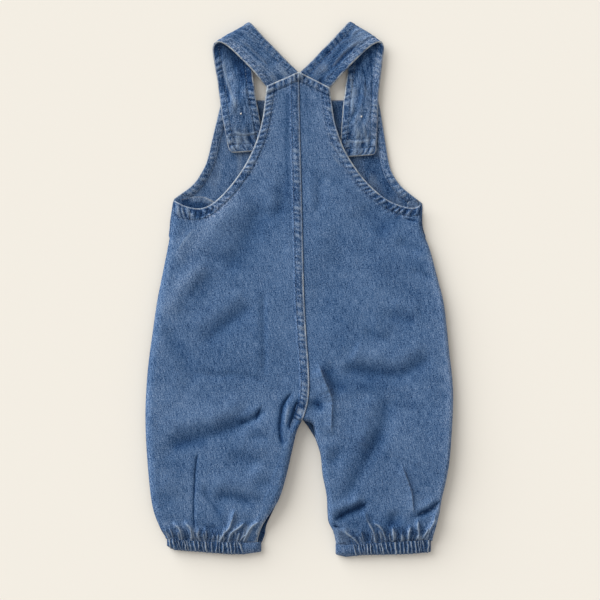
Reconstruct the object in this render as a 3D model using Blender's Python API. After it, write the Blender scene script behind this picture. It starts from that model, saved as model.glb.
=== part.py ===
"""Baby's denim dungarees, laid flat face down: the fronts lie on the surface, the backs lie on them.

Plan: +X is the garment's right as it lies, +Y runs to the shoulders, +Z is up, off the surface.
The origin is the middle of the laid garment, on the surface. Every size in the tables is in millimetres.

Each panel is one closed wall of cloth: its outline comes from the short tables of its edges, the height of
its underside from a table of heights along the body and a table of folds, and the wall is that sheet extruded up.
"""

import math
from collections import namedtuple

import bmesh
import bpy
import numpy as np
from mathutils import Vector
from mathutils.geometry import delaunay_2d_cdt

MM = 0.001

# ---- driving sizes -------------------------------------------------------------------------------------------
DENIM = 1.2  # wall of a single panel
STRAP_CLOTH = 1.6  # a strap is two layers of denim
FACING_CLOTH = 1.0
SEAM_GAP = 0.35  # between neighbouring pieces
LAP_WIDTH = 7.7  # felled centre-back seam
LAP_STEP = DENIM + SEAM_GAP + 0.35  # how far the left back rises to pass over the right back's edge
TUCK = 6.5  # how far a strap runs in under the back's top edge
FACING_WIDTH = 7.2
EDGE_ROUND = 9.0  # width over which the back comes down to a side or inner-leg edge
EDGE_LOW = DENIM + 0.45  # underside of the back right at such an edge
UNDERARM_LOW = DENIM + 2 * SEAM_GAP + FACING_CLOTH + 0.15  # and at the underarm, over the facing's end
LOWEST, HIGHEST = DENIM + 0.45, 5.15  # limits of the back's underside over the legs and body
BUTTON_R, BUTTON_T, SHANK_R = 7.5, 2.4, 1.0
LIFT = BUTTON_T + SEAM_GAP  # the bib passes over the button's disc
LIFT_FLAT, LIFT_END = 8.6, 23.0  # radius where the lift starts to fade, and where it ends
BUTTONHOLE_W, BUTTONHOLE_UP, BUTTONHOLE_DOWN = 3.0, 1.8, 15.5
STRAP_ON_BIB = DENIM + SEAM_GAP + FACING_CLOTH + SEAM_GAP + 0.15  # underside of a strap's front end
BEND_R = 2.35  # shoulder fold, measured to the middle of the strap's cloth
CASING = 2.0  # wall of the elastic casing: turned-up denim and elastic
CASING_TOP = 4.6  # underside of the casing's upper wall
GRID = 11.5  # spacing of a back's inner points
FRONT_GRID = 20.0

Place = namedtuple("Place", "at x y")

# ---- outlines: one row for each place along an edge -------------------------------------------------------------
ARMHOLE_LEFT = [  # back's left armhole, shoulder to underarm
    Place("shoulder corner", -29.6, 182.4),
    Place("below corner", -31.2, 170.0),
    Place("upper", -33.6, 152.6),
    Place("strap end", -38.6, 134.2),
    Place("shoulder blade", -46.8, 115.6),
    Place("lower", -57.6, 98.8),
    Place("turn", -69.6, 84.6),
    Place("under", -80.8, 75.4),
    Place("lowest", -91.2, 72.3),
    Place("rising", -103.4, 74.8),
    Place("underarm", -112.8, 79.6),
]
ARMHOLE_RIGHT = [
    Place("shoulder corner", 27.0, 181.0),
    Place("below corner", 28.8, 167.8),
    Place("upper", 32.2, 147.6),
    Place("strap end", 40.6, 124.8),
    Place("shoulder blade", 52.0, 106.4),
    Place("lower", 63.4, 92.8),
    Place("turn", 77.6, 81.0),
    Place("under", 91.0, 74.8),
    Place("lowest", 101.8, 72.9),
    Place("underarm", 109.4, 75.8),
]
SIDE_LEFT = [  # left side, underarm to the casing
    Place("underarm", -112.8, 79.6),
    Place("chest", -115.4, 62.0),
    Place("waist", -117.0, 47.0),
    Place("hip", -121.9, 16.0),
    Place("seat", -127.0, -10.0),
    Place("thigh", -131.4, -36.0),
    Place("upper leg", -137.0, -74.6),
    Place("widest", -138.96, -116.0),
    Place("knee", -137.0, -157.3),
    Place("shin", -132.8, -194.5),
    Place("gather", -126.0, -214.6),
    Place("casing", -119.8, -225.2),
]
SIDE_RIGHT = [
    Place("underarm", 109.4, 75.8),
    Place("chest", 109.9, 55.0),
    Place("waist", 117.2, 35.5),
    Place("hip", 124.6, 8.0),
    Place("seat", 129.2, -10.0),
    Place("thigh", 132.4, -27.0),
    Place("upper leg", 135.8, -54.0),
    Place("widest", 138.96, -95.3),
    Place("knee", 136.9, -147.0),
    Place("shin", 133.6, -169.6),
    Place("gather", 127.5, -188.4),
    Place("lower gather", 123.8, -205.0),
    Place("casing", 118.3, -226.6),
]
INNER_LEFT = [  # inner edge of the left leg, casing to crotch
    Place("casing", -38.0, -228.6),
    Place("above casing", -37.0, -222.6),
    Place("gather", -32.6, -211.6),
    Place("shin", -19.2, -190.4),
    Place("knee", -13.0, -169.6),
    Place("thigh", -7.8, -145.0),
    Place("near crotch", -3.6, -128.4),
    Place("crotch", 2.2, -118.2),
]
INNER_RIGHT = [  # inner edge of the right leg, crotch to casing
    Place("crotch", 4.6, -118.6),
    Place("notch", 12.4, -122.4),
    Place("near crotch", 15.3, -134.2),
    Place("thigh", 19.4, -149.0),
    Place("knee", 20.6, -167.4),
    Place("shin", 24.2, -186.2),
    Place("gather", 25.6, -208.0),
    Place("above casing", 30.4, -219.0),
    Place("casing", 33.0, -230.6),
]
FRONT_INNER_LEFT = [  # the front shows past the back at the inner hem
    Place("casing", -34.2, -228.8),
    Place("above casing", -31.4, -221.0),
    Place("gather", -29.6, -211.8),
    Place("shin", -20.0, -190.8),
    Place("knee", -13.8, -169.8),
    Place("thigh", -8.6, -145.2),
    Place("near crotch", -4.4, -129.4),
    Place("crotch", 1.4, -119.4),
]
FRONT_INNER_RIGHT = [  # and at the crotch
    Place("crotch", 3.0, -118.4),
    Place("crotch edge", 8.0, -125.0),
    Place("near crotch", 13.9, -134.6),
    Place("thigh", 20.2, -149.0),
    Place("knee", 21.4, -167.6),
    Place("shin", 25.0, -186.4),
    Place("gather", 26.4, -208.4),
    Place("above casing", 31.2, -219.4),
    Place("casing", 33.4, -230.6),
]
BIB_LEFT = [  # left side edge of the bib, top corner to underarm
    Place("bib corner", -69.6, 170.2),
    Place("under strap", -71.6, 160.6),
    Place("bib side", -77.0, 137.6),
    Place("lower side", -82.0, 118.0),
    Place("curve", -86.2, 107.6),
    Place("sweep", -95.4, 93.4),
    Place("underarm", -113.2, 81.2),
]
BIB_RIGHT = [
    Place("bib corner", 70.4, 170.2),
    Place("under strap", 72.2, 157.0),
    Place("bib side", 75.6, 135.6),
    Place("lower side", 79.6, 112.4),
    Place("curve", 83.6, 101.4),
    Place("sweep", 92.0, 90.4),
    Place("underarm", 110.4, 77.4),
]
CENTRE_BACK = [  # folded edge of the felled seam, top to crotch
    Place("top", -0.7, 195.0),
    Place("shoulder blades", 0.3, 143.0),
    Place("chest", 1.8, 84.5),
    Place("waist", 3.2, 26.0),
    Place("seat", 4.2, -10.0),
    Place("lower seat", 6.1, -43.3),
    Place("curve", 8.0, -68.5),
    Place("deepest", 8.6, -86.0),
    Place("turning in", 7.6, -100.0),
    Place("towards crotch", 5.0, -110.6),
    Place("crotch", 2.2, -118.2),
]
CENTRE_FRONT = [
    Place("bib top", 0.0, 170.2),
    Place("waist", 0.6, 50.0),
    Place("crotch", 2.0, -118.4),
]
UNDERARM_TOP_LEFT = [  # free upper edge of the facing's underarm end, and the line where it ends under the back
    Place("tip", -106.6, 81.0),
    Place("rise", -100.0, 82.6),
    Place("crest", -91.4, 83.6),
    Place("fall", -84.6, 82.6),
    Place("end", -76.6, 78.0),
    Place("tucked end", -76.0, 71.0),
    Place("tucked", -91.0, 68.4),
    Place("tucked tip", -104.4, 71.4),
]
UNDERARM_TOP_RIGHT = [
    Place("tip", 107.0, 78.0),
    Place("crest", 101.8, 82.0),
    Place("end", 97.0, 76.6),
    Place("tucked end", 97.4, 69.6),
    Place("tucked", 103.0, 68.6),
    Place("tucked tip", 106.4, 70.0),
]

# ---- heights: the back's underside along the body, before folds -----------------------------------------------
Height = namedtuple("Height", "at y middle")
BACK_HEIGHTS = [
    Height("top edge", 196, 4.45),
    Height("below top edge", 170, 4.6),
    Height("shoulder blades", 145, 4.7),
    Height("strap ends", 120, 4.4),
    Height("mid armhole", 100, 3.8),
    Height("underarm", 76, 3.4),
    Height("waist", 40, 3.1),
    Height("seat", -10, 3.3),
    Height("upper leg", -75, 3.6),
    Height("leg", -130, 3.9),
    Height("shin", -190, 3.8),
    Height("casing", -228, 4.5),
]

Fold = namedtuple("Fold", "at x0 y0 x1 y1 rise width")
FOLDS = [
    Fold("left hip", -58, -10, -86, -38, -0.9, 7),
    Fold("left seat, upright", -34, -8, -34, -75, -0.8, 6),
    Fold("left seat, across", -90, -77, -38, -76, -1.0, 8),
    Fold("left thigh", -42, -115, -114, -133, -1.3, 11),
    Fold("left crotch, upper", -8, -94, -18, -108, -0.9, 6),
    Fold("left crotch, lower", -18, -108, -20, -133, -1.0, 6),
    Fold("left knee, across", -79, -176, -28, -178, -1.0, 9),
    Fold("left shin, upright", -95, -149, -94, -210, -1.1, 6),
    Fold("left thigh crest", -70, -100, -120, -105, 1.1, 11),
    Fold("left knee crest", -60, -153, -112, -160, 1.1, 10),
    Fold("right crotch, upper", 19, -67, 29, -92, -1.1, 6),
    Fold("right crotch, lower", 29, -92, 31, -134, -1.1, 6),
    Fold("right seat, across", 117, -65, 42, -73, -1.1, 9),
    Fold("right thigh, slanting", 71, -116, 45, -174, -1.2, 8),
    Fold("right shin, slanting", 45, -174, 34, -203, -1.0, 7),
    Fold("right hem, slanting", 57, -198, 77, -226, -0.9, 6),
    Fold("right gather", 102, -179, 104, -204, -1.0, 6),
    Fold("right gather, outer", 104, -204, 127, -188, -0.9, 6),
    Fold("right thigh crest", 60, -95, 118, -90, 1.1, 11),
    Fold("right knee crest", 70, -160, 112, -140, 1.1, 11),
    Fold("back, left hollow", -36, 74, -50, 49, -0.7, 10),
    Fold("back, left crest", -66, 66, -98, 22, 0.9, 9),
    Fold("back, right crest", 70, 60, 96, 18, 0.8, 10),
]

# ---- gathers where a leg meets its casing -------------------------------------------------------------------------
GATHER_PITCH, GATHER_RISE, GATHER_REACH = 10.0, 0.55, 19.0

# ---- straps: one row for each section, from the end under the back to the end on the bib --------------------------
Section = namedtuple("Section", "at outer_x outer_y inner_x inner_y")
STRAP_LEFT_BACK = [
    Section("tucked end", -28.0, 175.8, -1.1, 187.6),
    Section("back's top edge", -30.2, 182.4, -1.1, 195.0),
    Section("rising", -41.6, 196.0, -15.6, 210.2),
    Section("upper", -53.4, 208.0, -29.6, 224.6),
    Section("near fold", -66.0, 217.4, -38.6, 233.4),
]
STRAP_LEFT_FOLD = [
    Section("shoulder fold", -77.6, 220.6, -44.3, 240.1),
]
STRAP_LEFT_FRONT = [
    Section("below fold", -77.0, 209.0, -43.6, 222.0),
    Section("shoulder", -75.2, 196.0, -42.4, 201.0),
    Section("above bib", -73.6, 182.0, -41.2, 184.6),
    Section("bib top", -72.4, 172.4, -39.4, 174.0),
    Section("on bib", -71.6, 167.0, -38.4, 168.4),
    Section("on bib 2", -71.0, 162.0, -37.6, 163.2),
    Section("button", -70.2, 157.0, -36.6, 157.8),
    Section("below button", -69.2, 151.0, -35.6, 151.8),
    Section("below button 2", -68.0, 145.0, -34.4, 146.0),
    Section("below button 3", -66.8, 139.0, -33.0, 140.4),
    Section("hem", -64.8, 130.0, -30.8, 132.0),
    Section("end", -63.0, 122.2, -28.8, 125.2),
]
STRAP_RIGHT_BACK = [
    Section("tucked end", 25.4, 174.4, 0.3, 187.6),
    Section("back's top edge", 27.4, 181.0, 0.3, 195.0),
    Section("rising", 38.2, 193.8, 14.8, 210.0),
    Section("upper", 50.6, 206.6, 29.4, 225.2),
    Section("near fold", 63.4, 216.8, 38.4, 234.6),
]
STRAP_RIGHT_FOLD = [
    Section("shoulder fold", 74.9, 220.8, 44.4, 241.1),
]
STRAP_RIGHT_FRONT = [
    Section("below fold", 74.8, 209.0, 44.4, 222.0),
    Section("shoulder", 73.2, 196.0, 43.6, 199.0),
    Section("above bib", 71.8, 182.0, 41.4, 182.6),
    Section("bib top", 71.2, 172.4, 40.0, 172.2),
    Section("on bib", 70.9, 166.4, 39.2, 166.2),
    Section("on bib 2", 70.7, 161.0, 38.8, 160.8),
    Section("button", 70.5, 155.4, 38.4, 155.0),
    Section("below button", 70.3, 149.6, 37.9, 149.0),
    Section("below button 2", 70.1, 143.6, 37.4, 143.0),
    Section("below button 3", 69.9, 137.6, 36.9, 137.0),
    Section("hem", 69.6, 129.4, 36.3, 127.8),
    Section("end", 69.2, 121.4, 35.8, 118.6),
]
STRAP_COLUMNS = 5

# ---- casings: their upper and lower edges in plan, outer end to inner end --------------------------------------
Casing = namedtuple("Casing", "at x top bottom")
CASING_LEFT = [
    Casing("outer end", -119.6, -225.6, -231.4),
    Casing("outer", -112.0, -227.0, -234.6),
    Casing("quarter", -92.0, -228.4, -236.0),
    Casing("middle", -66.0, -229.4, -238.2),
    Casing("three quarters", -50.0, -229.6, -238.4),
    Casing("inner end", -34.6, -229.2, -236.2),
]
CASING_RIGHT = [
    Casing("inner end", 32.4, -231.2, -238.8),
    Casing("flat patch", 42.0, -231.4, -240.9),
    Casing("quarter", 57.0, -230.8, -239.0),
    Casing("middle", 78.0, -229.4, -238.8),
    Casing("three quarters", 98.0, -228.2, -238.2),
    Casing("outer end", 118.2, -227.0, -236.4),
]
CASING_PLEATS = 17  # gather folds across a casing's upper wall
CASING_RISE = 0.5

Button = namedtuple("Button", "at x y")
BUTTONS = [Button("left", -53.0, 157.0), Button("right", 55.2, 155.0)]

DENIM_BLUE = (0.085, 0.155, 0.300)
DENIM_PALE = (0.120, 0.190, 0.330)
BUTTON_TONE = (0.36, 0.30, 0.22)


# ---- plan geometry ---------------------------------------------------------------------------------------------
def curve(rows, step):
    """Points about `step` apart on a smooth curve through a table's places."""
    p = np.array([(r.x, r.y) for r in rows], float)
    if len(p) == 2:
        p = np.array([p[0], p.mean(0), p[1]])
    ends = np.vstack([2 * p[0] - p[1], p, 2 * p[-1] - p[-2]])
    made = []
    for i in range(1, len(ends) - 2):
        a, b, c, d = ends[i - 1 : i + 3]
        n = max(1, round(np.linalg.norm(c - b) / step))
        for t in np.arange(n) / n:
            made.append(
                0.5
                * (2 * b + (c - a) * t + (2 * a - 5 * b + 4 * c - d) * t**2 + (3 * b - a - 3 * c + d) * t**3)
            )
    return np.array(made + [p[-1]])


def join(*lines):
    """One closed outline from edges that follow each other, each ending where the next starts."""
    made = []
    for line in lines:
        for p in line:
            if not made or np.hypot(*(p - made[-1])) > 0.2:
                made.append(np.asarray(p, float))
    if np.hypot(*(made[0] - made[-1])) <= 0.2:
        made.pop()
    return np.array(made)


def reach(points, line, closed=False):
    """Each point's distance from a line in plan."""
    line = np.vstack([line, line[:1]]) if closed else np.asarray(line, float)
    a, b = line[:-1], line[1:]
    run = b - a
    best = np.full(len(points), 1e9)
    for start, along in zip(a, run):
        t = np.clip(((points - start) @ along) / max(along @ along, 1e-12), 0, 1)
        best = np.minimum(best, np.linalg.norm(points - start - t[:, None] * along, axis=1))
    return best


def inside(points, outline):
    """Whether each point lies in a closed outline."""
    found = np.zeros(len(points), bool)
    x, y = points[:, 0], points[:, 1]
    for (x0, y0), (x1, y1) in zip(outline, np.roll(outline, -1, 0)):
        if y0 != y1:
            crosses = (y0 > y) != (y1 > y)
            found ^= crosses & (x < (x1 - x0) * (y - y0) / (y1 - y0) + x0)
    return found


def aside(line, distance):
    """The line moved to its left by a distance."""
    run = np.gradient(line, axis=0)
    run /= np.linalg.norm(run, axis=1)[:, None]
    return line + distance * np.stack([-run[:, 1], run[:, 0]], axis=1)


def filled(outline, grid, rows=(), holes=(), chains=(), inset=(3.2,)):
    """Flat triangles that fill an outline: (points, triangles).
    rows are loose points to pass through, chains are lines that triangles don't cross."""
    low, high = outline.min(0), outline.max(0)
    across = np.arange(low[0], high[0] + grid, grid)
    along = np.arange(low[1], high[1] + grid, grid * 0.9)
    loose = [np.array([(x + (grid / 2 if j % 2 else 0), y) for j, y in enumerate(along) for x in across])]
    for depth in inset:
        ring = aside(np.vstack([outline[-1:], outline, outline[:1]]), depth)[1:-1]
        loose.insert(0, ring[::2] if depth > 5 else ring)
    kept = np.zeros((0, 2))
    for i, group in enumerate([*rows, *loose]):
        if not len(group):
            continue
        group = np.asarray(group, float)
        clear = 0.62 * grid if i == len(rows) + len(loose) - 1 else 0.8 * min([*inset, 3.0])
        ok = inside(group, outline) & (reach(group, outline, True) > clear)
        for hole in holes:
            ok &= ~inside(group, hole) & (reach(group, hole, True) > 1.0)
        for chain in chains:
            ok &= reach(group, chain) > 1.2
        for p in group[ok]:
            near = 0.55 * grid if i == len(rows) + len(loose) - 1 else 2.2
            if not len(kept) or np.linalg.norm(kept - p, axis=1).min() > near:
                kept = np.vstack([kept, p])
    points, edges = [], []
    for line, closed in [(outline, True), *[(h, True) for h in holes], *[(c, False) for c in chains]]:
        start, n = len(points), len(line)
        points += [Vector(map(float, p)) for p in line]
        edges += [(start + i, start + (i + 1) % n) for i in range(n if closed else n - 1)]
    points += [Vector(map(float, p)) for p in kept]
    flat, _, triangles, *_ = delaunay_2d_cdt(points, edges, [], 0, 1e-5)
    flat, triangles = np.array([tuple(p) for p in flat]), np.array([list(t) for t in triangles])
    middle = flat[triangles].mean(1)
    keep = inside(middle, outline)
    for hole in holes:
        keep &= ~inside(middle, hole)
    return flat, triangles[keep]


def within(flat, triangles, outline):
    """The triangles that lie in part of a panel, for what is sewn onto it."""
    return triangles[inside(flat[triangles].mean(1), outline)]


# ---- heights ---------------------------------------------------------------------------------------------------
def ease(t):
    t = np.clip(t, 0, 1)
    return t * t * (3 - 2 * t)


def lift(points):
    """How far the bib and what lies on it rise over the buttons."""
    made = np.zeros(len(points))
    for b in BUTTONS:
        r = np.hypot(points[:, 0] - b.x, points[:, 1] - b.y)
        made = np.maximum(made, LIFT * (1 - ease((r - LIFT_FLAT) / (LIFT_END - LIFT_FLAT))))
    return made


def along_fold(points, fold):
    """(distance from the fold's line, how strong the fold is there: 1, fading out past its ends)."""
    a, b = np.array([fold.x0, fold.y0]), np.array([fold.x1, fold.y1])
    run = b - a
    t = ((points - a) @ run) / (run @ run)
    nearest = a + np.clip(t, 0, 1)[:, None] * run
    return np.linalg.norm(points - nearest, axis=1)


FREE_EDGES = [curve(SIDE_LEFT, 6), curve(SIDE_RIGHT, 6), curve(INNER_LEFT, 6), curve(INNER_RIGHT, 6)]
ARMHOLES = [curve(ARMHOLE_LEFT, 6), curve(ARMHOLE_RIGHT, 6)]
CASING_LINES = [
    np.array([(r.x, r.top) for r in CASING_LEFT]),
    np.array([(r.x, r.top) for r in CASING_RIGHT]),
]


def back_low(points):
    """Underside of the backs, before the lap of the felled seam."""
    rows = BACK_HEIGHTS[::-1]
    z = np.interp(points[:, 1], [r.y for r in rows], [r.middle for r in rows])
    body = 1 - ease((points[:, 1] - 60) / 40)  # folds belong below the armholes
    for fold in FOLDS:
        d = along_fold(points, fold)
        z += fold.rise * np.exp(-((d / fold.width) ** 2)) * np.where(points[:, 1] > 60, body, 1)
    for line in CASING_LINES:  # gathers fan up from the casing
        d = reach(points, line)
        fade = (1 - ease(d / GATHER_REACH)) * (np.abs(points[:, 0] - line[:, 0].mean()) < 46)
        z += GATHER_RISE * fade * np.cos(2 * math.pi * points[:, 0] / GATHER_PITCH)
    z = np.clip(z, LOWEST, HIGHEST)
    arm = np.minimum(*(reach(points, line) for line in ARMHOLES))
    strap_zone = ease((points[:, 1] - 104) / 14) * (1 - ease((points[:, 1] - 166) / 12))
    over_strap = STRAP_ON_BIB + STRAP_CLOTH + 0.75 + lift(points)
    wanted = np.maximum(z, over_strap)
    z += (wanted - z) * strap_zone * (1 - ease((arm - 9) / 11))
    side = np.minimum.reduce([reach(points, line) for line in FREE_EDGES])
    t = np.clip(side / EDGE_ROUND, 0, 1)
    edge = EDGE_LOW + (UNDERARM_LOW - EDGE_LOW) * ease((points[:, 1] - 54) / 12)
    return edge + (np.maximum(z, edge) - edge) * (1 - (1 - t) ** 2)


SEAM = curve(CENTRE_BACK, 9)


def left_back_low(points):
    """The left back rises near the centre seam, to lap over the right back's edge."""
    over = 1 - ease((reach(points, SEAM) - LAP_WIDTH - 2.2) / 4.6)
    return back_low(points) + LAP_STEP * over


def front_low(points):
    """The fronts rest on the surface, and the bib passes over the buttons."""
    return lift(points)


def on_front(points):
    return front_low(points) + DENIM + SEAM_GAP + 0.05


# ---- building --------------------------------------------------------------------------------------------------
def colour_of(name, tone, rough=0.92, metallic=0.0):
    made = bpy.data.materials.new(name)
    made.use_nodes = True
    shader = made.node_tree.nodes["Principled BSDF"]
    shader.inputs["Base Color"].default_value = (*tone, 1)
    shader.inputs["Roughness"].default_value = rough
    shader.inputs["Metallic"].default_value = metallic
    made.diffuse_color = (*tone, 1)
    return made


def put(name, bm, material, smooth_angle=40):
    """A named object from a bmesh whose points are in millimetres."""
    bmesh.ops.scale(bm, vec=(MM, MM, MM), verts=bm.verts)
    bmesh.ops.recalc_face_normals(bm, faces=bm.faces)
    mesh = bpy.data.meshes.new(name)
    bm.to_mesh(mesh)
    bm.free()
    mesh.shade_smooth()
    mesh.set_sharp_from_angle(angle=math.radians(smooth_angle))
    mesh.materials.append(material)
    made = bpy.data.objects.new(name, mesh)
    bpy.context.scene.collection.objects.link(made)
    return made


def wall(name, flat, triangles, low, thick, material):
    """A panel of cloth: flat triangles set at the height of its underside, then extruded up by the cloth.
    The rise grows with the slope, so that the cloth keeps its thickness."""
    used = np.unique(triangles)
    at = {int(v): i for i, v in enumerate(used)}
    points = flat[used]
    z = low(points)
    slope_x = (low(points + (0.5, 0)) - low(points - (0.5, 0))) / 1.0
    slope_y = (low(points + (0, 0.5)) - low(points - (0, 0.5))) / 1.0
    rises = thick * np.minimum(np.sqrt(1 + slope_x**2 + slope_y**2), 1.25)
    bm = bmesh.new()
    rise = bm.verts.layers.float.new("rise")
    verts = []
    for (x, y), h, r in zip(points, z, rises):
        v = bm.verts.new((x, y, h))
        v[rise] = r
        verts.append(v)
    faces = [bm.faces.new([verts[at[int(i)]] for i in t]) for t in triangles]
    made = bmesh.ops.extrude_face_region(bm, geom=faces)
    for v in made["geom"]:
        if isinstance(v, bmesh.types.BMVert):
            v.co.z += v[rise]
    return put(name, bm, material)


def band(name, sections, thick, material):
    """A strap: a ruled strip through its sections, each a list of points across it, thickened by Solidify."""
    bm = bmesh.new()
    rows = [[bm.verts.new(p) for p in section] for section in sections]
    for a, b in zip(rows, rows[1:]):
        for i in range(len(a) - 1):
            bm.faces.new((a[i], a[i + 1], b[i + 1], b[i]))
    made = put(name, bm, material, 60)
    cloth = made.modifiers.new("cloth", "SOLIDIFY")
    cloth.thickness = thick * MM
    cloth.offset = 0
    cloth.use_even_offset = True
    cloth.use_rim = True
    return made


def ring(name, rows, pleats, material):
    """An elastic casing: a flattened tube open at both ends, whose upper wall is gathered."""
    x0, x1 = rows[0].x, rows[-1].x
    xs = [r.x for r in rows]
    steps = 2 * pleats
    end = CASING + 0.5  # how far the tube's round ends reach in
    outer, inner = [], []
    for i in range(steps + 1):  # upper wall, then back along the lower wall
        s = i / steps
        x = x0 + (x1 - x0) * s
        near_end = min(s, 1 - s) * abs(x1 - x0)
        crown = 1 - (1 - min(near_end / 7.0, 1)) ** 2
        pleat = CASING_RISE * (1 if i % 2 else -1) * crown
        outer.append((x, CASING + 1.0 + (CASING_TOP - 1.0 + pleat) * crown))
    for i in range(7, 0, -1):
        s = i / 8
        outer.append((x0 + (x1 - x0) * s, 0.0))
    for x, z in outer:
        side = min(abs(x - x0), abs(x - x1))
        inward = (x0 + x1) / 2 - x
        shift = math.copysign(max(end - side, 0.0), inward) if side < end else 0.0
        if z == 0.0:
            inner.append((x, CASING))
        else:
            inner.append((x + shift, max(z - CASING * 1.02, CASING + 0.9)))
    bm = bmesh.new()
    levels = 3
    loops = []
    for profile in (outer, inner):
        made = []
        for j in range(levels + 1):
            t = j / levels
            made.append(
                [
                    bm.verts.new(
                        (
                            x,
                            np.interp(x, xs, [r.top for r in rows]) * (1 - t) + np.interp(x, xs, [r.bottom for r in rows]) * t,
                            z,
                        )
                    )
                    for x, z in profile
                ]
            )
        loops.append(made)
    n = len(outer)
    for made in loops:
        for a, b in zip(made, made[1:]):
            for i in range(n):
                bm.faces.new((a[i], a[(i + 1) % n], b[(i + 1) % n], b[i]))
    for j in (0, levels):
        a, b = loops[0][j], loops[1][j]
        for i in range(n):
            bm.faces.new((a[i], a[(i + 1) % n], b[(i + 1) % n], b[i]))
    bmesh.ops.triangulate(bm, faces=bm.faces)
    return put(name, bm, material)


def turned(name, x, y, profile, steps, material):
    """A round piece: a profile of (radius, height) spun about its upright axis."""
    bm = bmesh.new()
    verts = [bm.verts.new((r, 0, z)) for r, z in profile]
    edges = [bm.edges.new(pair) for pair in zip(verts, verts[1:])]
    bmesh.ops.spin(
        bm, geom=verts + edges, cent=(0, 0, 0), axis=(0, 0, 1), angle=2 * math.pi, steps=steps, use_duplicate=False
    )
    bmesh.ops.remove_doubles(bm, verts=bm.verts, dist=0.001)
    made = put(name, bm, material, 35)
    made.location = (x * MM, y * MM, 0)
    return made


def strap_sections(back, fold, front, side):
    """Points across each section of a strap: down the back part, round the shoulder fold, and along the front part."""
    top, bottom = STRAP_CLOTH / 2 + 2 * BEND_R, STRAP_CLOTH / 2
    shares = np.linspace(0, 1, STRAP_COLUMNS)

    def across(row, shift=(0, 0)):
        a, b = np.array([row.outer_x, row.outer_y]), np.array([row.inner_x, row.inner_y])
        return [a + (b - a) * s + np.array(shift) for s in shares]

    made = []
    low_end = BACK_HEIGHTS[0].middle - SEAM_GAP - 0.1 - STRAP_CLOTH / 2
    heights = [low_end - 0.15, low_end, low_end + 0.75, top - 0.5, top - 0.08]
    for row, z in zip(back, heights):
        made.append([(*p, z) for p in across(row)])
    row = fold[0]
    a, b = np.array([row.outer_x, row.outer_y]), np.array([row.inner_x, row.inner_y])
    run = (b - a) / np.linalg.norm(b - a)
    out = np.array([-run[1], run[0]]) * (1 if -run[1] * side > 0 or run[0] * side < 0 else -1)
    if out[1] < 0:
        out = -out
    hinge = STRAP_CLOTH / 2 + BEND_R
    for k in range(7):
        turn = math.pi * k / 6
        shift = out * (BEND_R * math.sin(turn) - hinge)
        made.append([(*p, bottom + BEND_R + BEND_R * math.cos(turn)) for p in across(row, shift)])
    for row in front:
        points = np.array(across(row))
        bib = ease((180.5 - points[:, 1]) / 10.5)
        z = bottom + (STRAP_ON_BIB * bib) + lift(points) * bib
        made.append([(*p, h) for p, h in zip(points, z)])
    return made


# ---- clear the scene -----------------------------------------------------------------------------------------------
for old in list(bpy.data.objects):
    bpy.data.objects.remove(old)

# ---- backs ---------------------------------------------------------------------------------------------------------
STEP = 7.5
lap_rows = [aside(SEAM, side) for side in (-3.0, -LAP_WIDTH - 1.6, -LAP_WIDTH - 4.4, -LAP_WIDTH - 7.4)]
casing_left = np.array([(r.x, r.top + SEAM_GAP) for r in CASING_LEFT])
casing_right = np.array([(r.x, r.top + SEAM_GAP) for r in CASING_RIGHT])


def pleated(line, x_from, x_to):
    """Points half a gather apart along a leg's lower edge."""
    n = round(abs(x_to - x_from) / (GATHER_PITCH / 2))
    xs = np.linspace(x_from, x_to, n + 1)
    order = np.argsort(line[:, 0])
    return np.stack([xs, np.interp(xs, line[order, 0], line[order, 1])], axis=1)


hem_left = pleated(casing_left, -119.2, -38.2)
hem_right = pleated(casing_right, 33.4, 117.9)
outline = join(
    curve(ARMHOLE_LEFT, STEP),
    curve(SIDE_LEFT, STEP)[:-1],
    hem_left,
    curve(INNER_LEFT, STEP)[1:],
    SEAM[::-1],
    [np.array([-0.7, 195.0]), np.array([-10.3, 190.7]), np.array([-20.0, 186.6])],
)
rows = [*lap_rows, hem_left[1:-1] + (0, 7.0), hem_left[1:-1] + (0, 14.5)]
flat, triangles = filled(outline, GRID, rows, inset=(3.2, 7.6))
wall("back_left", flat, triangles, left_back_low, DENIM, colour_of("back_left_denim", DENIM_BLUE))

under = aside(SEAM, -LAP_WIDTH)
under_edge = under[1:-1]
outline = join(
    [np.array([-7.9, 190.2]), np.array([-0.9, 193.4]), np.array([0.0, 195.0]), np.array([9.0, 190.5]), np.array([18.0, 186.0])],
    curve(ARMHOLE_RIGHT, STEP),
    curve(SIDE_RIGHT, STEP)[:-1],
    hem_right[::-1],
    curve(INNER_RIGHT, STEP)[::-1][1:],
    [np.array([2.6, -116.2]), np.array([-2.4, -112.6])],
    under_edge[::-1],
)
outline = outline[::-1]
rows = [SEAM[1:-1], aside(SEAM, 3.4), aside(SEAM, 8.5), hem_right[1:-1] + (0, 7.0), hem_right[1:-1] + (0, 14.5)]
flat, triangles = filled(outline, GRID, rows, inset=(3.2, 7.6))
wall("back_right", flat, triangles, back_low, DENIM, colour_of("back_right_denim", DENIM_BLUE))

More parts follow.
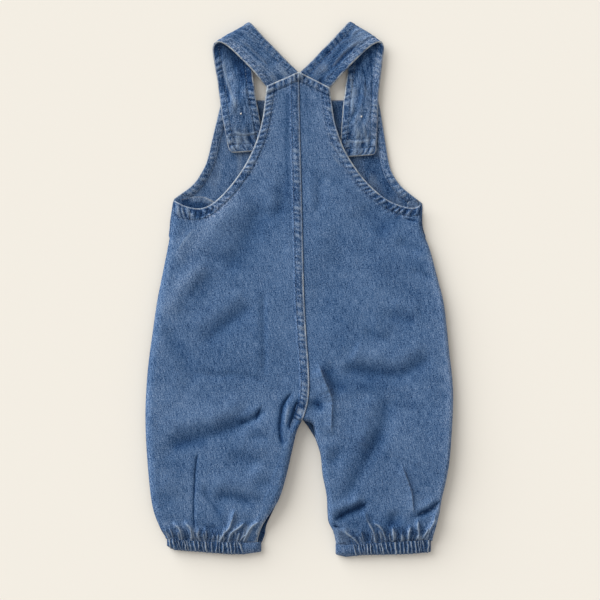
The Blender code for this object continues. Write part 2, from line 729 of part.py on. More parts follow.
# ---- fronts, with the facings made from their points --------------------------------------------------------------
for side, sign, bib, edge, inner, hem_line, top_rows in (
    ("left", -1, BIB_LEFT, SIDE_LEFT, FRONT_INNER_LEFT, casing_left, UNDERARM_TOP_LEFT),
    ("right", 1, BIB_RIGHT, SIDE_RIGHT, FRONT_INNER_RIGHT, casing_right, UNDERARM_TOP_RIGHT),
):
    bib_edge, centre = curve(bib, 8), curve(CENTRE_FRONT, 16) + (sign * SEAM_GAP / 2, 0)
    side_edge = curve(edge, 12)[1:-1] + (-sign * 0.8, 0)
    slim = side_edge[:, 1] > 44  # the front shows past the back's side below the underarm
    side_edge[slim] += (sign * 2.2, 0)
    inner_edge = curve(inner, 9)
    low_edge = np.array([(x, np.interp(x, *(hem_line[np.argsort(hem_line[:, 0])].T))) for x in np.linspace(inner_edge[0 if sign < 0 else -1][0], sign * 118.4, 6)])
    if sign < 0:
        outline = join(bib_edge, side_edge, low_edge[::-1], inner_edge[1:], centre[::-1])
    else:
        outline = join(bib_edge, side_edge, low_edge[::-1], inner_edge[::-1][1:], centre[::-1])[::-1]
    button = next(b for b in BUTTONS if b.at == side)
    ring_points = [
        np.array([(button.x + r * math.cos(a), button.y + r * math.sin(a)) for a in np.arange(n) * 2 * math.pi / n])
        for r, n in ((8.8, 12), (12.2, 12), (16.0, 14), (19.6, 14), (23.2, 16))
    ]
    hole = np.array(
        [
            (button.x - BUTTONHOLE_W / 2, button.y + BUTTONHOLE_UP - 1),
            (button.x - 0.7, button.y + BUTTONHOLE_UP),
            (button.x + 0.7, button.y + BUTTONHOLE_UP),
            (button.x + BUTTONHOLE_W / 2, button.y + BUTTONHOLE_UP - 1),
            (button.x + BUTTONHOLE_W / 2, button.y - BUTTONHOLE_DOWN + 1),
            (button.x, button.y - BUTTONHOLE_DOWN),
            (button.x - BUTTONHOLE_W / 2, button.y - BUTTONHOLE_DOWN + 1),
        ]
    )
    # the facing's inner line runs from the bib's top to near the underarm, then out past the edge
    line = aside(bib_edge, FACING_WIDTH if sign < 0 else -FACING_WIDTH)
    stop = int(np.argmin(np.abs(line[:, 0] - sign * 99.0)))
    line = line[: stop + 1]
    out = bib_edge[min(stop + 1, len(bib_edge) - 1)]
    start = np.array([line[0][0], 172.0])
    finish = out + (out - line[-1]) * 0.25
    facing_line = np.vstack([start, line[1:], finish])
    facing_area = np.vstack([[bib_edge[0] + (sign * 4, 4)], facing_line, [finish + (sign * 6, 2)], [(sign * 140, 172)]])
    crescent = curve([*top_rows, top_rows[0]], 5)[:-1]
    chain = np.vstack([crescent, crescent[:1]])
    flat, triangles = filled(outline, FRONT_GRID, ring_points, holes=[hole], chains=[facing_line, chain], inset=(6.0,))
    wall(f"front_{side}", flat, triangles, front_low, DENIM, colour_of(f"front_{side}_denim", DENIM_BLUE))
    facing = within(flat, triangles, facing_area)
    facing = facing[~inside(flat[facing].mean(1), crescent)]
    wall(f"facing_{side}", flat, facing, on_front, FACING_CLOTH, colour_of(f"facing_{side}_denim", DENIM_PALE))
    patch = within(flat, triangles, crescent)
    wall(f"underarm_{side}", flat, patch, on_front, FACING_CLOTH, colour_of(f"underarm_{side}_denim", DENIM_PALE))

# ---- straps, casings, buttons ---------------------------------------------------------------------------------
for side, sign, parts in (
    ("left", -1, (STRAP_LEFT_BACK, STRAP_LEFT_FOLD, STRAP_LEFT_FRONT)),
    ("right", 1, (STRAP_RIGHT_BACK, STRAP_RIGHT_FOLD, STRAP_RIGHT_FRONT)),
):
    band(f"strap_{side}", strap_sections(*parts, sign), STRAP_CLOTH, colour_of(f"strap_{side}_denim", DENIM_BLUE))

ring("cuff_left", CASING_LEFT, CASING_PLEATS, colour_of("cuff_left_denim", DENIM_BLUE))
ring("cuff_right", CASING_RIGHT, CASING_PLEATS, colour_of("cuff_right_denim", DENIM_BLUE))

for b in BUTTONS:
    shank_top = STRAP_ON_BIB + LIFT - SEAM_GAP
    turned(
        f"button_{b.at}",
        b.x,
        b.y,
        [
            (0, 0),
            (BUTTON_R - 0.6, 0),
            (BUTTON_R, 0.6),
            (BUTTON_R, 1.5),
            (BUTTON_R - 0.7, 2.1),
            (BUTTON_R - 2.4, BUTTON_T),
            (SHANK_R, BUTTON_T),
            (SHANK_R, shank_top),
            (0, shank_top),
        ],
        20,
        colour_of(f"button_{b.at}_resin", BUTTON_TONE, 0.45),
    )
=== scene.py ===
import math
from collections import namedtuple

import bpy
import numpy as np
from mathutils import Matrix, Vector, kdtree
from mathutils.geometry import delaunay_2d_cdt


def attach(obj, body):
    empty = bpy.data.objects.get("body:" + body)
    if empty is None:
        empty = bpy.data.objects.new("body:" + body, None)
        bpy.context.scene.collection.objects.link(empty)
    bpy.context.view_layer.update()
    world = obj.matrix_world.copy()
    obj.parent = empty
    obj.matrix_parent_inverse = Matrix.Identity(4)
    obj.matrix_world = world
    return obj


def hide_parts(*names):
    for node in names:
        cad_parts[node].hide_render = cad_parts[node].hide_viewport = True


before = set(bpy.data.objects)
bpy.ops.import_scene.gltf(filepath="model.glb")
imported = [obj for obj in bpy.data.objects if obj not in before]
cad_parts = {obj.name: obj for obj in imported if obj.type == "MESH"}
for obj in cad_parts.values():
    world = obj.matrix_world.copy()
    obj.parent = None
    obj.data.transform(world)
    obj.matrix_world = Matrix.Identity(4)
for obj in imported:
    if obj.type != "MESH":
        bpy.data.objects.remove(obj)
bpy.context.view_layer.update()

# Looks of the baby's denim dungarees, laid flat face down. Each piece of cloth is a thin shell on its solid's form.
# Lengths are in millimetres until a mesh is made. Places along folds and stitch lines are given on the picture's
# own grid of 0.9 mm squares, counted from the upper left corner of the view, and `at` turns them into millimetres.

MM = 0.001
SQUARE = 0.9


def at(px, py):
    return ((px - 299.7) * SQUARE, (288.9 - py) * SQUARE)


def line_of(*places):
    return np.array([at(*p) for p in places], float)


# ---- sizes shared with the solids --------------------------------------------------------------------------------
DENIM = 0.9  # real cloth, thinner than the solids' walls
LAP_WIDTH = 7.7
LAP_RISE = 1.0
FACING_WIDTH = 7.2
LIFT, LIFT_FLAT, LIFT_END = 2.75, 8.6, 23.0
BUTTONS = [(-53.0, 157.0), (55.2, 155.0)]
STRAP_CLOTH = 1.7
STRAP_ON_BIB = 2.45
LIGHT_FROM = np.array([-0.7, 0.714])  # plan direction towards the window light
CAMERA_OVER = np.array([0.3, -10.0])

# ---- outlines in plan, each row a place along the edge: x, y -------------------------------------------------------
ARMHOLE_LEFT = [(-29.6, 182.4), (-31.2, 170.0), (-33.6, 152.6), (-38.6, 134.2), (-46.8, 115.6), (-57.6, 98.8), (-69.6, 84.6),
                (-80.8, 75.4), (-91.2, 72.3), (-103.4, 74.8), (-112.8, 79.6)]
ARMHOLE_RIGHT = [(27.0, 181.0), (28.8, 167.8), (32.2, 147.6), (40.6, 124.8), (52.0, 106.4), (63.4, 92.8), (77.6, 81.0),
                 (91.0, 74.8), (101.8, 72.9), (109.4, 75.8)]
SIDE_LEFT = [(-112.8, 79.6), (-115.4, 62.0), (-117.0, 47.0), (-123.0, 16.0), (-128.2, -10.0), (-132.0, -36.0), (-137.0, -74.6),
             (-138.96, -116.0), (-137.0, -157.3), (-132.8, -194.5), (-126.0, -214.6), (-119.8, -225.2)]
SIDE_RIGHT = [(109.4, 75.8), (109.9, 55.0), (117.2, 35.5), (124.6, 8.0), (129.2, -10.0), (131.6, -27.0), (134.4, -54.0),
              (138.2, -95.3), (135.6, -147.0), (132.4, -169.6), (128.1, -188.4), (125.2, -205.0), (119.4, -226.6)]
INNER_LEFT = [(-38.0, -228.6), (-37.0, -222.6), (-32.6, -211.6), (-19.2, -190.4), (-12.4, -169.6), (-6.6, -145.0),
              (-2.6, -128.4), (2.2, -118.2)]
INNER_RIGHT = [(4.6, -118.6), (11.6, -122.4), (14.0, -134.2), (18.6, -149.0), (20.6, -167.4), (24.2, -186.2),
               (25.6, -208.0), (30.4, -219.0), (33.0, -230.6)]
FRONT_INNER_LEFT = [(-34.2, -228.8), (-31.4, -221.0), (-29.6, -211.8), (-20.0, -190.8), (-13.8, -169.8), (-8.6, -145.2),
                    (-4.4, -129.4), (1.4, -119.4)]
FRONT_INNER_RIGHT = [(3.0, -118.4), (8.0, -125.0), (13.9, -134.6), (20.2, -149.0), (21.4, -167.6), (25.0, -186.4),
                     (26.4, -208.4), (31.2, -219.4), (33.4, -230.6)]
BIB_LEFT = [(-70.0, 170.2), (-72.6, 160.6), (-78.2, 137.6), (-82.8, 118.0), (-87.0, 107.6), (-96.2, 94.0), (-113.2, 81.2)]
BIB_RIGHT = [(70.8, 170.2), (73.4, 157.0), (76.8, 135.6), (80.8, 112.4), (85.2, 101.4), (93.4, 90.8), (110.4, 77.4)]
CENTRE_BACK = [(-0.7, 195.0), (0.3, 143.0), (1.8, 84.5), (3.2, 26.0), (4.2, -10.0), (6.1, -43.3), (8.0, -68.5), (8.6, -86.0),
               (7.6, -100.0), (5.0, -110.6), (2.2, -118.2)]
CENTRE_FRONT = [(0.0, 170.2), (0.6, 50.0), (2.0, -118.4)]
UNDERARM_LEFT = [(-106.6, 81.0), (-100.0, 82.6), (-91.4, 83.6), (-84.6, 82.6), (-76.6, 78.0), (-76.0, 71.0), (-91.0, 68.4),
                 (-104.4, 71.4)]
UNDERARM_RIGHT = [(107.0, 78.0), (101.8, 82.0), (97.0, 76.6), (97.4, 69.6), (103.0, 68.6), (106.4, 70.0)]
CASING_LEFT = [(-119.6, -225.6, -231.4), (-112.0, -227.0, -234.6), (-92.0, -228.4, -236.0), (-66.0, -229.4, -238.2),
               (-50.0, -229.6, -238.4), (-34.6, -229.2, -236.2)]  # x, upper edge, lower edge
CASING_RIGHT = [(32.4, -231.2, -238.8), (42.0, -231.4, -240.9), (57.0, -230.8, -239.0), (78.0, -229.4, -238.8),
                (98.0, -228.2, -238.2), (118.2, -227.0, -236.4)]

# ---- folds of the backs -------------------------------------------------------------------------------------------
# kind, places, height, width towards the light, width away from it. A ridge or groove has a soft top, a crest or
# crack a crisp one, and a fall is a slope that turns away from the light, with its own ridge and hollow; each fold's
# side turned from the light is also painted darker, as painted shade. A wash has no height: it only paints the colour
# paler, or with a height below nought darker; the washes lie mostly along lit fold flanks as painted light and in
# creases and hollows as painted shade.
Fold = namedtuple("Fold", "kind places height up down")
FOLDS_LEFT = [
    Fold("wash", [(275, 98), (275, 140), (275, 188)], 0.07, 7.0, 6.0),
    Fold("wash", [(190, 468), (190, 492), (191, 520)], 0.08, 6.0, 4.0),
    Fold("wash", [(225, 462), (240, 463), (256, 461)], 0.08, 5.0, 5.0),
    Fold("wash", [(250, 520), (262, 510), (272, 496)], 0.08, 4.0, 4.0),
    Fold("wash", [(240, 190), (222, 208), (204, 231), (188, 251), (174, 260)], 0.25, 6.5, 7.5),
    Fold("wash", [(188, 228), (178, 244), (170, 258)], 0.14, 5.0, 5.0),
    Fold("wash", [(204, 262), (190, 276), (174, 296), (160, 316)], 0.20, 6.5, 7.0),
    Fold("wash", [(160, 332), (162, 350), (158, 385), (160, 420), (164, 462)], 0.09, 8.0, 8.0),
    Fold("wash", [(280, 203), (269, 222), (256, 240), (242, 262), (226, 284)], -0.07, 10.0, 10.0),
    Fold("wash", [(205, 325), (232, 328), (258, 325)], -0.05, 12.0, 12.0),
    Fold("wash", [(287.5, 92), (287.0, 130), (287.3, 165), (288.4, 200)], -0.20, 2.6, 2.4),
    Fold("wash", [(303, 397), (296.5, 412), (290, 432)], -0.26, 4.2, 4.2),
    Fold("wash", [(285.5, 398), (281.5, 412), (280.5, 430), (284, 446)], -0.22, 2.4, 2.4),
    Fold("wash", [(217, 500), (221, 515), (224, 530)], -0.15, 4.4, 4.4),
    Fold("wash", [(174, 431), (194, 428), (214, 425)], -0.08, 5.0, 5.0),
    Fold("wash", [(172, 447), (190, 445), (210, 441)], -0.15, 4.5, 4.5),
    Fold("wash", [(226, 439), (240, 431), (252, 423)], 0.08, 4.5, 4.5),
    Fold("wash", [(239, 531), (247, 524), (254, 518)], -0.16, 3.4, 3.4),
    Fold("ridge", [(232, 196), (218, 212), (203, 234), (190, 258)], 1.0, 7.0, 8.0),
    Fold("ridge", [(200, 222), (188, 236), (180, 247), (173, 258)], 0.55, 4.2, 4.2),
    Fold("streak", [(196, 227), (187, 238), (181.5, 246), (177, 255)], 0.22, 2.2, 2.0),
    Fold("crack", [(191.5, 208), (190.6, 215), (190.0, 223)], -0.75, 1.1, 1.2),
    Fold("crack", [(197.0, 209), (196.3, 215), (195.6, 222)], -0.6, 1.0, 1.1),
    Fold("crack", [(202.4, 208.5), (201.8, 215), (201.0, 221)], -0.75, 1.1, 1.2),
    Fold("crack", [(208.2, 206.5), (207.6, 212), (206.2, 218)], -0.6, 1.0, 1.1),
    Fold("crack", [(214.0, 204.5), (213.2, 209), (211.8, 215)], -0.5, 1.0, 1.0),
    Fold("ridge", [(184, 250), (179, 254), (170, 257)], 0.5, 4.5, 4.5),
    Fold("fall", [(266, 200), (255, 218), (248, 236), (236, 256), (222, 268)], 1.25, 8.0, 8.0),
    Fold("fall", [(277, 174), (281, 190), (281, 204), (276, 222)], 0.8, 4.4, 4.4),
    Fold("ridge", [(286, 215), (287, 240), (288, 270)], 0.45, 4.0, 4.0),
    Fold("fall", [(214, 250), (228, 260), (240, 274)], 0.6, 5.0, 5.0),
    Fold("ridge", [(208, 254), (191, 271), (176, 288), (159, 314)], 1.2, 7.0, 7.5),
    Fold("fall", [(214, 272), (202, 284), (190, 300)], 0.7, 6.0, 6.0),
    Fold("fall", [(255, 303), (243, 311), (229, 321), (214, 333), (201, 346)], 1.3, 6.0, 5.4),
    Fold("groove", [(262.5, 290), (262.5, 312), (263, 340), (263.5, 376)], -0.75, 3.0, 2.2),
    Fold("fall", [(163, 328), (177, 346), (187, 360), (195, 386)], 0.95, 5.0, 5.0),
    Fold("groove", [(192, 369), (216, 373.5), (238, 373), (254, 376), (268, 383)], -0.55, 2.6, 3.0),
    Fold("fall", [(254, 417), (241, 422), (229, 427.5), (214, 432.5), (198, 437), (181, 441), (166, 448)], 1.95, 6.6, 4.8),
    Fold("fall", [(268, 407), (257, 416), (246, 422), (236, 425.5)], 0.95, 2.6, 2.0),
    Fold("crack", [(263.5, 403), (259.3, 412), (255, 423)], -1.0, 2.4, 2.6),
    Fold("crack", [(294, 390), (285, 402), (281.5, 414), (280.2, 432), (283.5, 447)], -1.2, 1.8, 2.2),
    Fold("crack", [(300, 396), (294.5, 412), (289.5, 431)], -1.5, 2.0, 2.8),
    Fold("streak", [(289.4, 402), (287, 413), (285.4, 427)], 0.8, 1.4, 1.4),
    Fold("groove", [(300, 402), (295.5, 416), (291, 432)], -1.6, 3.0, 3.0),
    Fold("fall", [(246, 431), (259, 436), (272, 437)], 0.9, 4.0, 4.0),
    Fold("fall", [(178, 434), (169, 449), (160, 462)], 0.45, 5.0, 5.0),
    Fold("fall", [(226, 451), (242, 458), (264, 467)], 1.2, 5.5, 5.5),
    Fold("crack", [(198.2, 450), (197.0, 462), (195.8, 474), (194.6, 490), (194.2, 507), (194.6, 520), (195.4, 530)], -0.78, 1.2, 1.7),
    Fold("groove", [(202, 483), (207, 495), (213.5, 504), (222, 516)], -0.95, 2.2, 2.4),
    Fold("fall", [(210, 497), (228, 495.5), (245, 499.5), (258, 507)], 1.5, 5.0, 4.4),
    Fold("fall", [(248, 487), (262, 483), (277, 478)], 0.9, 5.0, 5.0),
    Fold("fall", [(151, 488), (162, 494), (178, 506)], 0.8, 5.0, 5.0),
    Fold("groove", [(197.5, 518), (201.5, 524), (209, 526.5), (217, 526), (221, 523)], -0.5, 1.8, 1.8),
]
FOLDS_RIGHT = [
    Fold("wash", [(314, 84), (318, 110), (325, 145), (331, 178)], 0.11, 8.0, 7.0),
    Fold("wash", [(331, 100), (336, 124), (343, 145)], 0.10, 4.0, 4.0),
    Fold("wash", [(316, 296), (345, 310), (375, 322), (390, 340)], -0.06, 14.0, 14.0),
    Fold("wash", [(325, 340), (350, 343), (372, 346)], -0.08, 9.0, 9.0),
    Fold("wash", [(334, 384), (348, 386), (364, 386), (390, 386)], -0.17, 6.5, 6.5),
    Fold("wash", [(342, 524), (365, 521), (400, 523), (432, 520)], -0.13, 7.0, 7.0),
    Fold("wash", [(430, 300), (437, 340), (440, 380), (440, 430), (434, 468)], 0.03, 9.0, 9.0),
    Fold("wash", [(312, 398), (319, 404), (324, 412)], -0.24, 4.5, 4.5),
    Fold("wash", [(337, 398), (338, 415), (337, 436)], 0.10, 2.6, 2.6),
    Fold("wash", [(374, 238), (390, 224), (402, 213)], -0.14, 6.0, 6.0),
    Fold("wash", [(400, 262), (416, 264), (430, 268)], -0.12, 6.0, 6.0),
    Fold("wash", [(326, 228), (336, 246), (352, 262), (376, 268)], 0.06, 6.0, 6.0),
    Fold("crack", [(403, 218), (411, 220.5), (418, 221.8)], -0.85, 1.2, 1.3),
    Fold("crack", [(388.5, 200), (387.2, 206), (385.6, 211)], -0.5, 1.0, 1.1),
    Fold("crack", [(394.6, 203.5), (393.6, 209), (392.4, 215)], -0.55, 1.0, 1.1),
    Fold("crack", [(400.2, 205.5), (399.4, 211), (398.6, 217)], -0.6, 1.0, 1.1),
    Fold("crack", [(406.0, 207.0), (405.4, 212), (404.8, 218)], -0.6, 1.0, 1.1),
    Fold("crack", [(411.8, 207.0), (411.4, 212), (411.0, 218)], -0.6, 1.0, 1.1),
    Fold("ridge", [(336, 180), (343, 200), (350, 226)], 0.7, 8.0, 8.0),
    Fold("fall", [(336, 220), (337, 248), (341, 276)], 0.5, 6.0, 6.0),
    Fold("fall", [(318, 170), (319.5, 191), (318, 216)], 0.55, 3.6, 3.6),
    Fold("groove", [(358, 204), (372, 220), (388, 238)], -0.8, 6.0, 6.0),
    Fold("groove", [(396, 236), (409, 244), (424, 254)], -0.9, 4.0, 4.0),
    Fold("groove", [(410, 266), (423, 273), (436, 278)], -0.7, 3.0, 3.0),
    Fold("fall", [(382, 310), (400, 317), (420, 322)], 0.8, 4.5, 4.5),
    Fold("fall", [(362, 325), (376, 337), (391, 342)], 0.8, 4.0, 4.0),
    Fold("crest", [(317.5, 359), (321.2, 371.5), (325.8, 383.5), (330.0, 392.5), (332.0, 400), (331.8, 408), (331.2, 419),
                   (331.4, 430), (332.6, 437)], 1.7, 6.5, 3.0),
    Fold("fall", [(321, 362), (329.5, 374), (335, 387), (337.5, 398)], 1.7, 3.8, 5.0),
    Fold("fall", [(340, 363), (350, 368), (362, 370.5), (378, 372.5), (393, 373.5), (406, 371), (419, 363), (434, 354)], 1.95, 6.0, 5.4),
    Fold("fall", [(384, 392), (384, 416), (378.5, 437), (372, 458)], 1.35, 6.8, 5.4),
    Fold("fall", [(382.5, 424), (372.5, 447), (362.5, 466), (354, 482), (347.5, 495), (343, 508)], 1.0, 5.2, 4.2),
    Fold("wash", [(368, 412), (363, 440), (353, 470), (344, 497)], -0.09, 8.0, 8.0),
    Fold("fall", [(332, 522), (340, 517), (349, 512.0), (358.5, 508.0), (370, 502)], 2.2, 3.8, 3.0),
    Fold("crack", [(332, 521.5), (340, 516.5), (349, 511.3), (359, 507.2), (371, 500.4)], -0.45, 2.2, 1.4),
    Fold("ridge", [(344, 507), (352, 501), (362, 496)], 0.7, 3.0, 3.0),
    Fold("crest", [(400.5, 462), (406.5, 478), (411.0, 491), (412.4, 504), (414, 517)], 1.35, 4.6, 1.7),
    Fold("fall", [(413.5, 516.4), (424.7, 512.2), (432.5, 508.0), (441, 499)], 1.6, 2.6, 2.0),
    Fold("crack", [(414, 516), (424.7, 511.6), (432.5, 507.2), (444, 496)], -0.75, 1.3, 1.5),
    Fold("crack", [(330.5, 525), (336, 526.5), (342, 528.5)], -1.2, 1.3, 1.5),
    Fold("fall", [(343, 442), (335, 456), (327, 468)], 0.9, 4.5, 4.5),
    Fold("groove", [(309, 397), (317, 404), (326, 405)], -1.5, 4.2, 4.0),
    Fold("groove", [(391, 508), (393, 528)], -1.7, 4.6, 4.6),
    Fold("groove", [(341, 528), (345, 538), (349, 546)], -0.9, 3.5, 3.0),
    Fold("streak", [(326, 139), (337, 151), (347, 162)], 0.28, 1.2, 1.3),
    Fold("streak", [(333, 136), (341, 146), (349, 157)], 0.22, 1.1, 1.1),
    Fold("streak", [(330, 152), (337, 161), (343, 168)], 0.20, 1.1, 1.1),
]

# gathers that run up from the casings: places from the top of each ridge down to the casing, height, width
Gather = namedtuple("Gather", "places height width")
GATHERS_LEFT = [
    Gather([(161, 527), (168, 533), (173, 540)], 1.0, 1.5),
    Gather([(173, 521), (180.5, 529.5), (182, 541)], 1.6, 1.6),
    Gather([(184, 520), (191.5, 529.5), (191.5, 541)], 1.7, 1.7),
    Gather([(195.5, 528), (198.5, 535), (200.5, 542)], 1.4, 1.4),
    Gather([(203.5, 529), (204.2, 536), (205, 542)], 1.2, 1.4),
    Gather([(213, 531), (214, 537), (213.5, 543)], 0.8, 1.3),
    Gather([(222, 531), (221, 537), (218, 543)], 1.3, 1.4),
    Gather([(235, 508), (232.5, 519), (228.5, 528), (223.5, 534), (219.5, 542)], 1.7, 1.7),
    Gather([(227, 534), (224.5, 538), (223.5, 543)], 1.0, 1.2),
    Gather([(246, 520), (238, 527.5), (231, 533.5), (228, 543)], 1.7, 1.6),
    Gather([(262, 520.5), (256.4, 523), (250.3, 527.5), (246.5, 533.5), (243.5, 541)], 1.5, 1.6),
    Gather([(250, 531), (243.5, 536.5), (238.5, 542.5)], 1.2, 1.3),
]
GATHERS_RIGHT = [
    Gather([(341.5, 527), (346.2, 532.6), (352.7, 537), (358.5, 544)], 1.5, 1.6),
    Gather([(355, 533), (360.5, 538), (364, 545)], 1.0, 1.3),
    Gather([(362, 508), (367, 520), (372.5, 530), (376, 543)], 1.6, 1.8),
    Gather([(369, 526), (371.5, 534), (371, 544)], 0.9, 1.3),
    Gather([(371, 520), (380, 527), (384.5, 535), (386, 544)], 1.4, 1.5),
    Gather([(377, 524), (381, 533), (383, 543)], 0.9, 1.2),
    Gather([(392, 524), (393.3, 533), (392.6, 544)], 1.7, 1.5),
    Gather([(400.5, 529), (402, 537), (401.5, 544)], 1.2, 1.3),
    Gather([(410, 523), (408.5, 533), (409, 544)], 1.7, 1.5),
    Gather([(416.8, 517), (418, 529), (419, 543)], 1.8, 1.5),
    Gather([(431, 524), (425, 533.5), (420, 542)], 1.5, 1.4),
    Gather([(433.5, 511), (434.4, 519), (429.5, 528), (425.5, 542)], 1.5, 1.4),
]
# ridges across each casing: x on the picture's grid, lean (how far the ridge's foot stands to the right of its top)
RIDGES_LEFT = [(170.4, 0.8), (174.8, 1.2), (180.7, 1.6), (186.0, 1.4), (191.0, 1.2), (195.2, 0.8), (199.2, 0.9), (203.3, 0.8),
               (206.4, 1.0), (212.2, 0.6), (216.6, -0.8), (223.3, 0.6), (227.9, 0.5), (230.7, 1.1), (234.6, -0.9),
               (237.8, 1.4), (241.4, 2.2)]
RIDGES_RIGHT = [(354.6, 2.2), (359.6, 1.4), (364.6, 0.7), (370.8, 1.0), (377.3, 1.5), (382.6, 1.6), (387.2, 2.0), (391.2, 1.2),
                (395.7, 0.9), (400.3, 0.5), (404.0, 0.6), (408.0, 0.7), (411.7, 0.6), (415.6, 1.0), (418.8, 0.2),
                (423.9, 1.2), (427.7, -0.8)]

# middle height of the backs' upper face along the body: y, height
BACK_HEIGHTS = [(-232, 6.8), (-227, 8.0), (-218, 9.6), (-203, 10.9), (-170, 12.2), (-130, 12.8), (-75, 12.0), (-10, 10.6), (40, 8.9), (76, 7.5),
                (100, 7.0), (120, 7.0), (145, 7.1), (170, 6.9), (196, 6.6)]


# ---- plan geometry -------------------------------------------------------------------------------------------------
def curve(rows, step):
    """Points about `step` apart on a smooth curve through places; any further columns are carried along."""
    p = np.array(rows, float)
    if len(p) == 2:
        p = np.array([p[0], p.mean(0), p[1]])
    ends = np.vstack([2 * p[0] - p[1], p, 2 * p[-1] - p[-2]])
    made = []
    for i in range(1, len(ends) - 2):
        a, b, c, d = ends[i - 1 : i + 3]
        n = max(1, round(np.linalg.norm((c - b)[:2]) / step))
        for t in np.arange(n) / n:
            made.append(0.5 * (2 * b + (c - a) * t + (2 * a - 5 * b + 4 * c - d) * t**2 + (3 * b - a - 3 * c + d) * t**3))
    return np.array(made + [p[-1]])


def join(*lines, gap=0.12):
    made = []
    for line in lines:
        for p in line:
            if not made or np.hypot(*(p - made[-1])) > gap:
                made.append(np.asarray(p, float))
    if np.hypot(*(made[0] - made[-1])) <= gap:
        made.pop()
    return np.array(made)


def area_of(outline):
    x, y = outline[:, 0], outline[:, 1]
    return 0.5 * float(np.sum(x * np.roll(y, -1) - np.roll(x, -1) * y))


def aside(line, distance, closed=False):
    """The line moved to its left by a distance."""
    run = (np.roll(line, -1, 0) - np.roll(line, 1, 0)) if closed else np.gradient(line, axis=0)
    run = run / np.maximum(np.linalg.norm(run, axis=1), 1e-9)[:, None]
    return line + distance * np.stack([-run[:, 1], run[:, 0]], axis=1)


def inside(points, outline):
    found = np.zeros(len(points), bool)
    x, y = points[:, 0], points[:, 1]
    for (x0, y0), (x1, y1) in zip(outline, np.roll(outline, -1, 0)):
        if y0 != y1:
            crosses = (y0 > y) != (y1 > y)
            found ^= crosses & (x < (x1 - x0) * (y - y0) / (y1 - y0) + x0)
    return found


class Edge:
    """A line that points can be measured from: how far along it they are, and how far to its left."""

    def __init__(self, line):
        self.line = np.asarray(line, float)
        self.run = np.gradient(self.line, axis=0)
        self.run /= np.maximum(np.linalg.norm(self.run, axis=1), 1e-9)[:, None]
        self.at = np.concatenate([[0], np.cumsum(np.linalg.norm(np.diff(self.line, axis=0), axis=1))])
        self.tree = kdtree.KDTree(len(self.line))
        for i, p in enumerate(self.line):
            self.tree.insert((p[0], p[1], 0), i)
        self.tree.balance()

    def near(self, points):
        """(distance, place along, distance to the left) of each point."""
        found = np.array([self.tree.find((x, y, 0))[1] for x, y in points], int)
        off = points - self.line[found]
        run = self.run[found]
        along = self.at[found] + np.sum(off * run, axis=1)
        left = run[:, 0] * off[:, 1] - run[:, 1] * off[:, 0]
        far = np.linalg.norm(off, axis=1)
        inner = (found > 0) & (found < len(self.line) - 1)
        return np.where(inner, np.abs(left), far), along, left


def ease(t):
    t = np.clip(t, 0, 1)
    return t * t * (3 - 2 * t)


# ---- seeded unevenness ---------------------------------------------------------------------------------------------
LATTICE = [np.random.default_rng(71 + k).uniform(-1, 1, (97, 97)) for k in range(8)]


def noise(x, y, scale, k=0):
    """Smooth seeded noise from -1 to 1 in plan."""
    g = LATTICE[k % 8]
    u, v = np.asarray(x, float) / scale + 31.7 * k, np.asarray(y, float) / scale + 17.3 * k
    i, j = np.floor(u).astype(int), np.floor(v).astype(int)
    a, b = u - i, v - j
    a, b = a * a * (3 - 2 * a), b * b * (3 - 2 * b)
    n = len(g)
    at_ = lambda p, q: g[p % n, q % n]
    return (at_(i, j) * (1 - a) + at_(i + 1, j) * a) * (1 - b) + (at_(i, j + 1) * (1 - a) + at_(i + 1, j + 1) * a) * b


def pucker(along, across, pitch, seed, lean=0.0, fine=0.24):
    """Uneven puckers along a stitched band, 0 in the hollows and 1 on the swells."""
    phase = along + lean * across
    warp = 0.50 * noise(phase, 0.22 * across, pitch * 2.3, seed) + 0.26 * noise(phase, 0.4 * across + 9, pitch * 0.85, seed + 1)
    swell = 0.5 + 0.5 * np.cos(2 * math.pi * (phase / pitch + warp))
    size = np.clip(0.70 + 0.55 * noise(phase, 0.3 * across + 40, pitch * 1.5, seed + 2), 0.08, 1.15)
    blobs = np.clip(0.5 + 0.8 * noise(phase, across + 70, pitch * 0.5, seed + 3), 0, 1)
    return np.clip(swell, 0, 1) ** 0.75 * size * (1.02 - fine) + fine * blobs


# ---- edges that are measured from ----------------------------------------------------------------------------------
SIDES = Edge(np.vstack([curve(SIDE_LEFT, 1.5), curve(INNER_LEFT, 1.5), curve(INNER_RIGHT, 1.5), curve(SIDE_RIGHT, 1.5)[::-1]]))
ARM_LEFT, ARM_RIGHT = Edge(curve(ARMHOLE_LEFT, 0.8)), Edge(curve(ARMHOLE_RIGHT, 0.8))
TOP_LEFT = Edge(curve([(-0.7, 195.0), (-10.3, 190.9), (-20.0, 186.8), (-29.6, 182.4)], 0.8))
TOP_RIGHT = Edge(curve([(-0.7, 195.0), (9.0, 190.4), (18.0, 185.8), (27.0, 181.0)], 0.8))
SEAM = Edge(curve(CENTRE_BACK, 0.8))
BIB = {-1: Edge(curve(BIB_LEFT, 0.8)), 1: Edge(curve(BIB_RIGHT, 0.8))}
CUFF_LINE = {-1: Edge(curve([(r[0], r[1]) for r in CASING_LEFT], 0.8)), 1: Edge(curve([(r[0], r[1]) for r in CASING_RIGHT], 0.8))}


FALLS, RIDGES, CRISP, SOFTER = 0.76, 1.0, 1.45, 1.22
EDGE_RISE = 0.9  # how much higher the backs' side edges stand on the puffed hips and legs


def waver(along, fold):
    """How a crisp fold's line wanders."""
    return 0.5 * noise(along, 0 * along + fold.places[0][0], 4.6, 6)


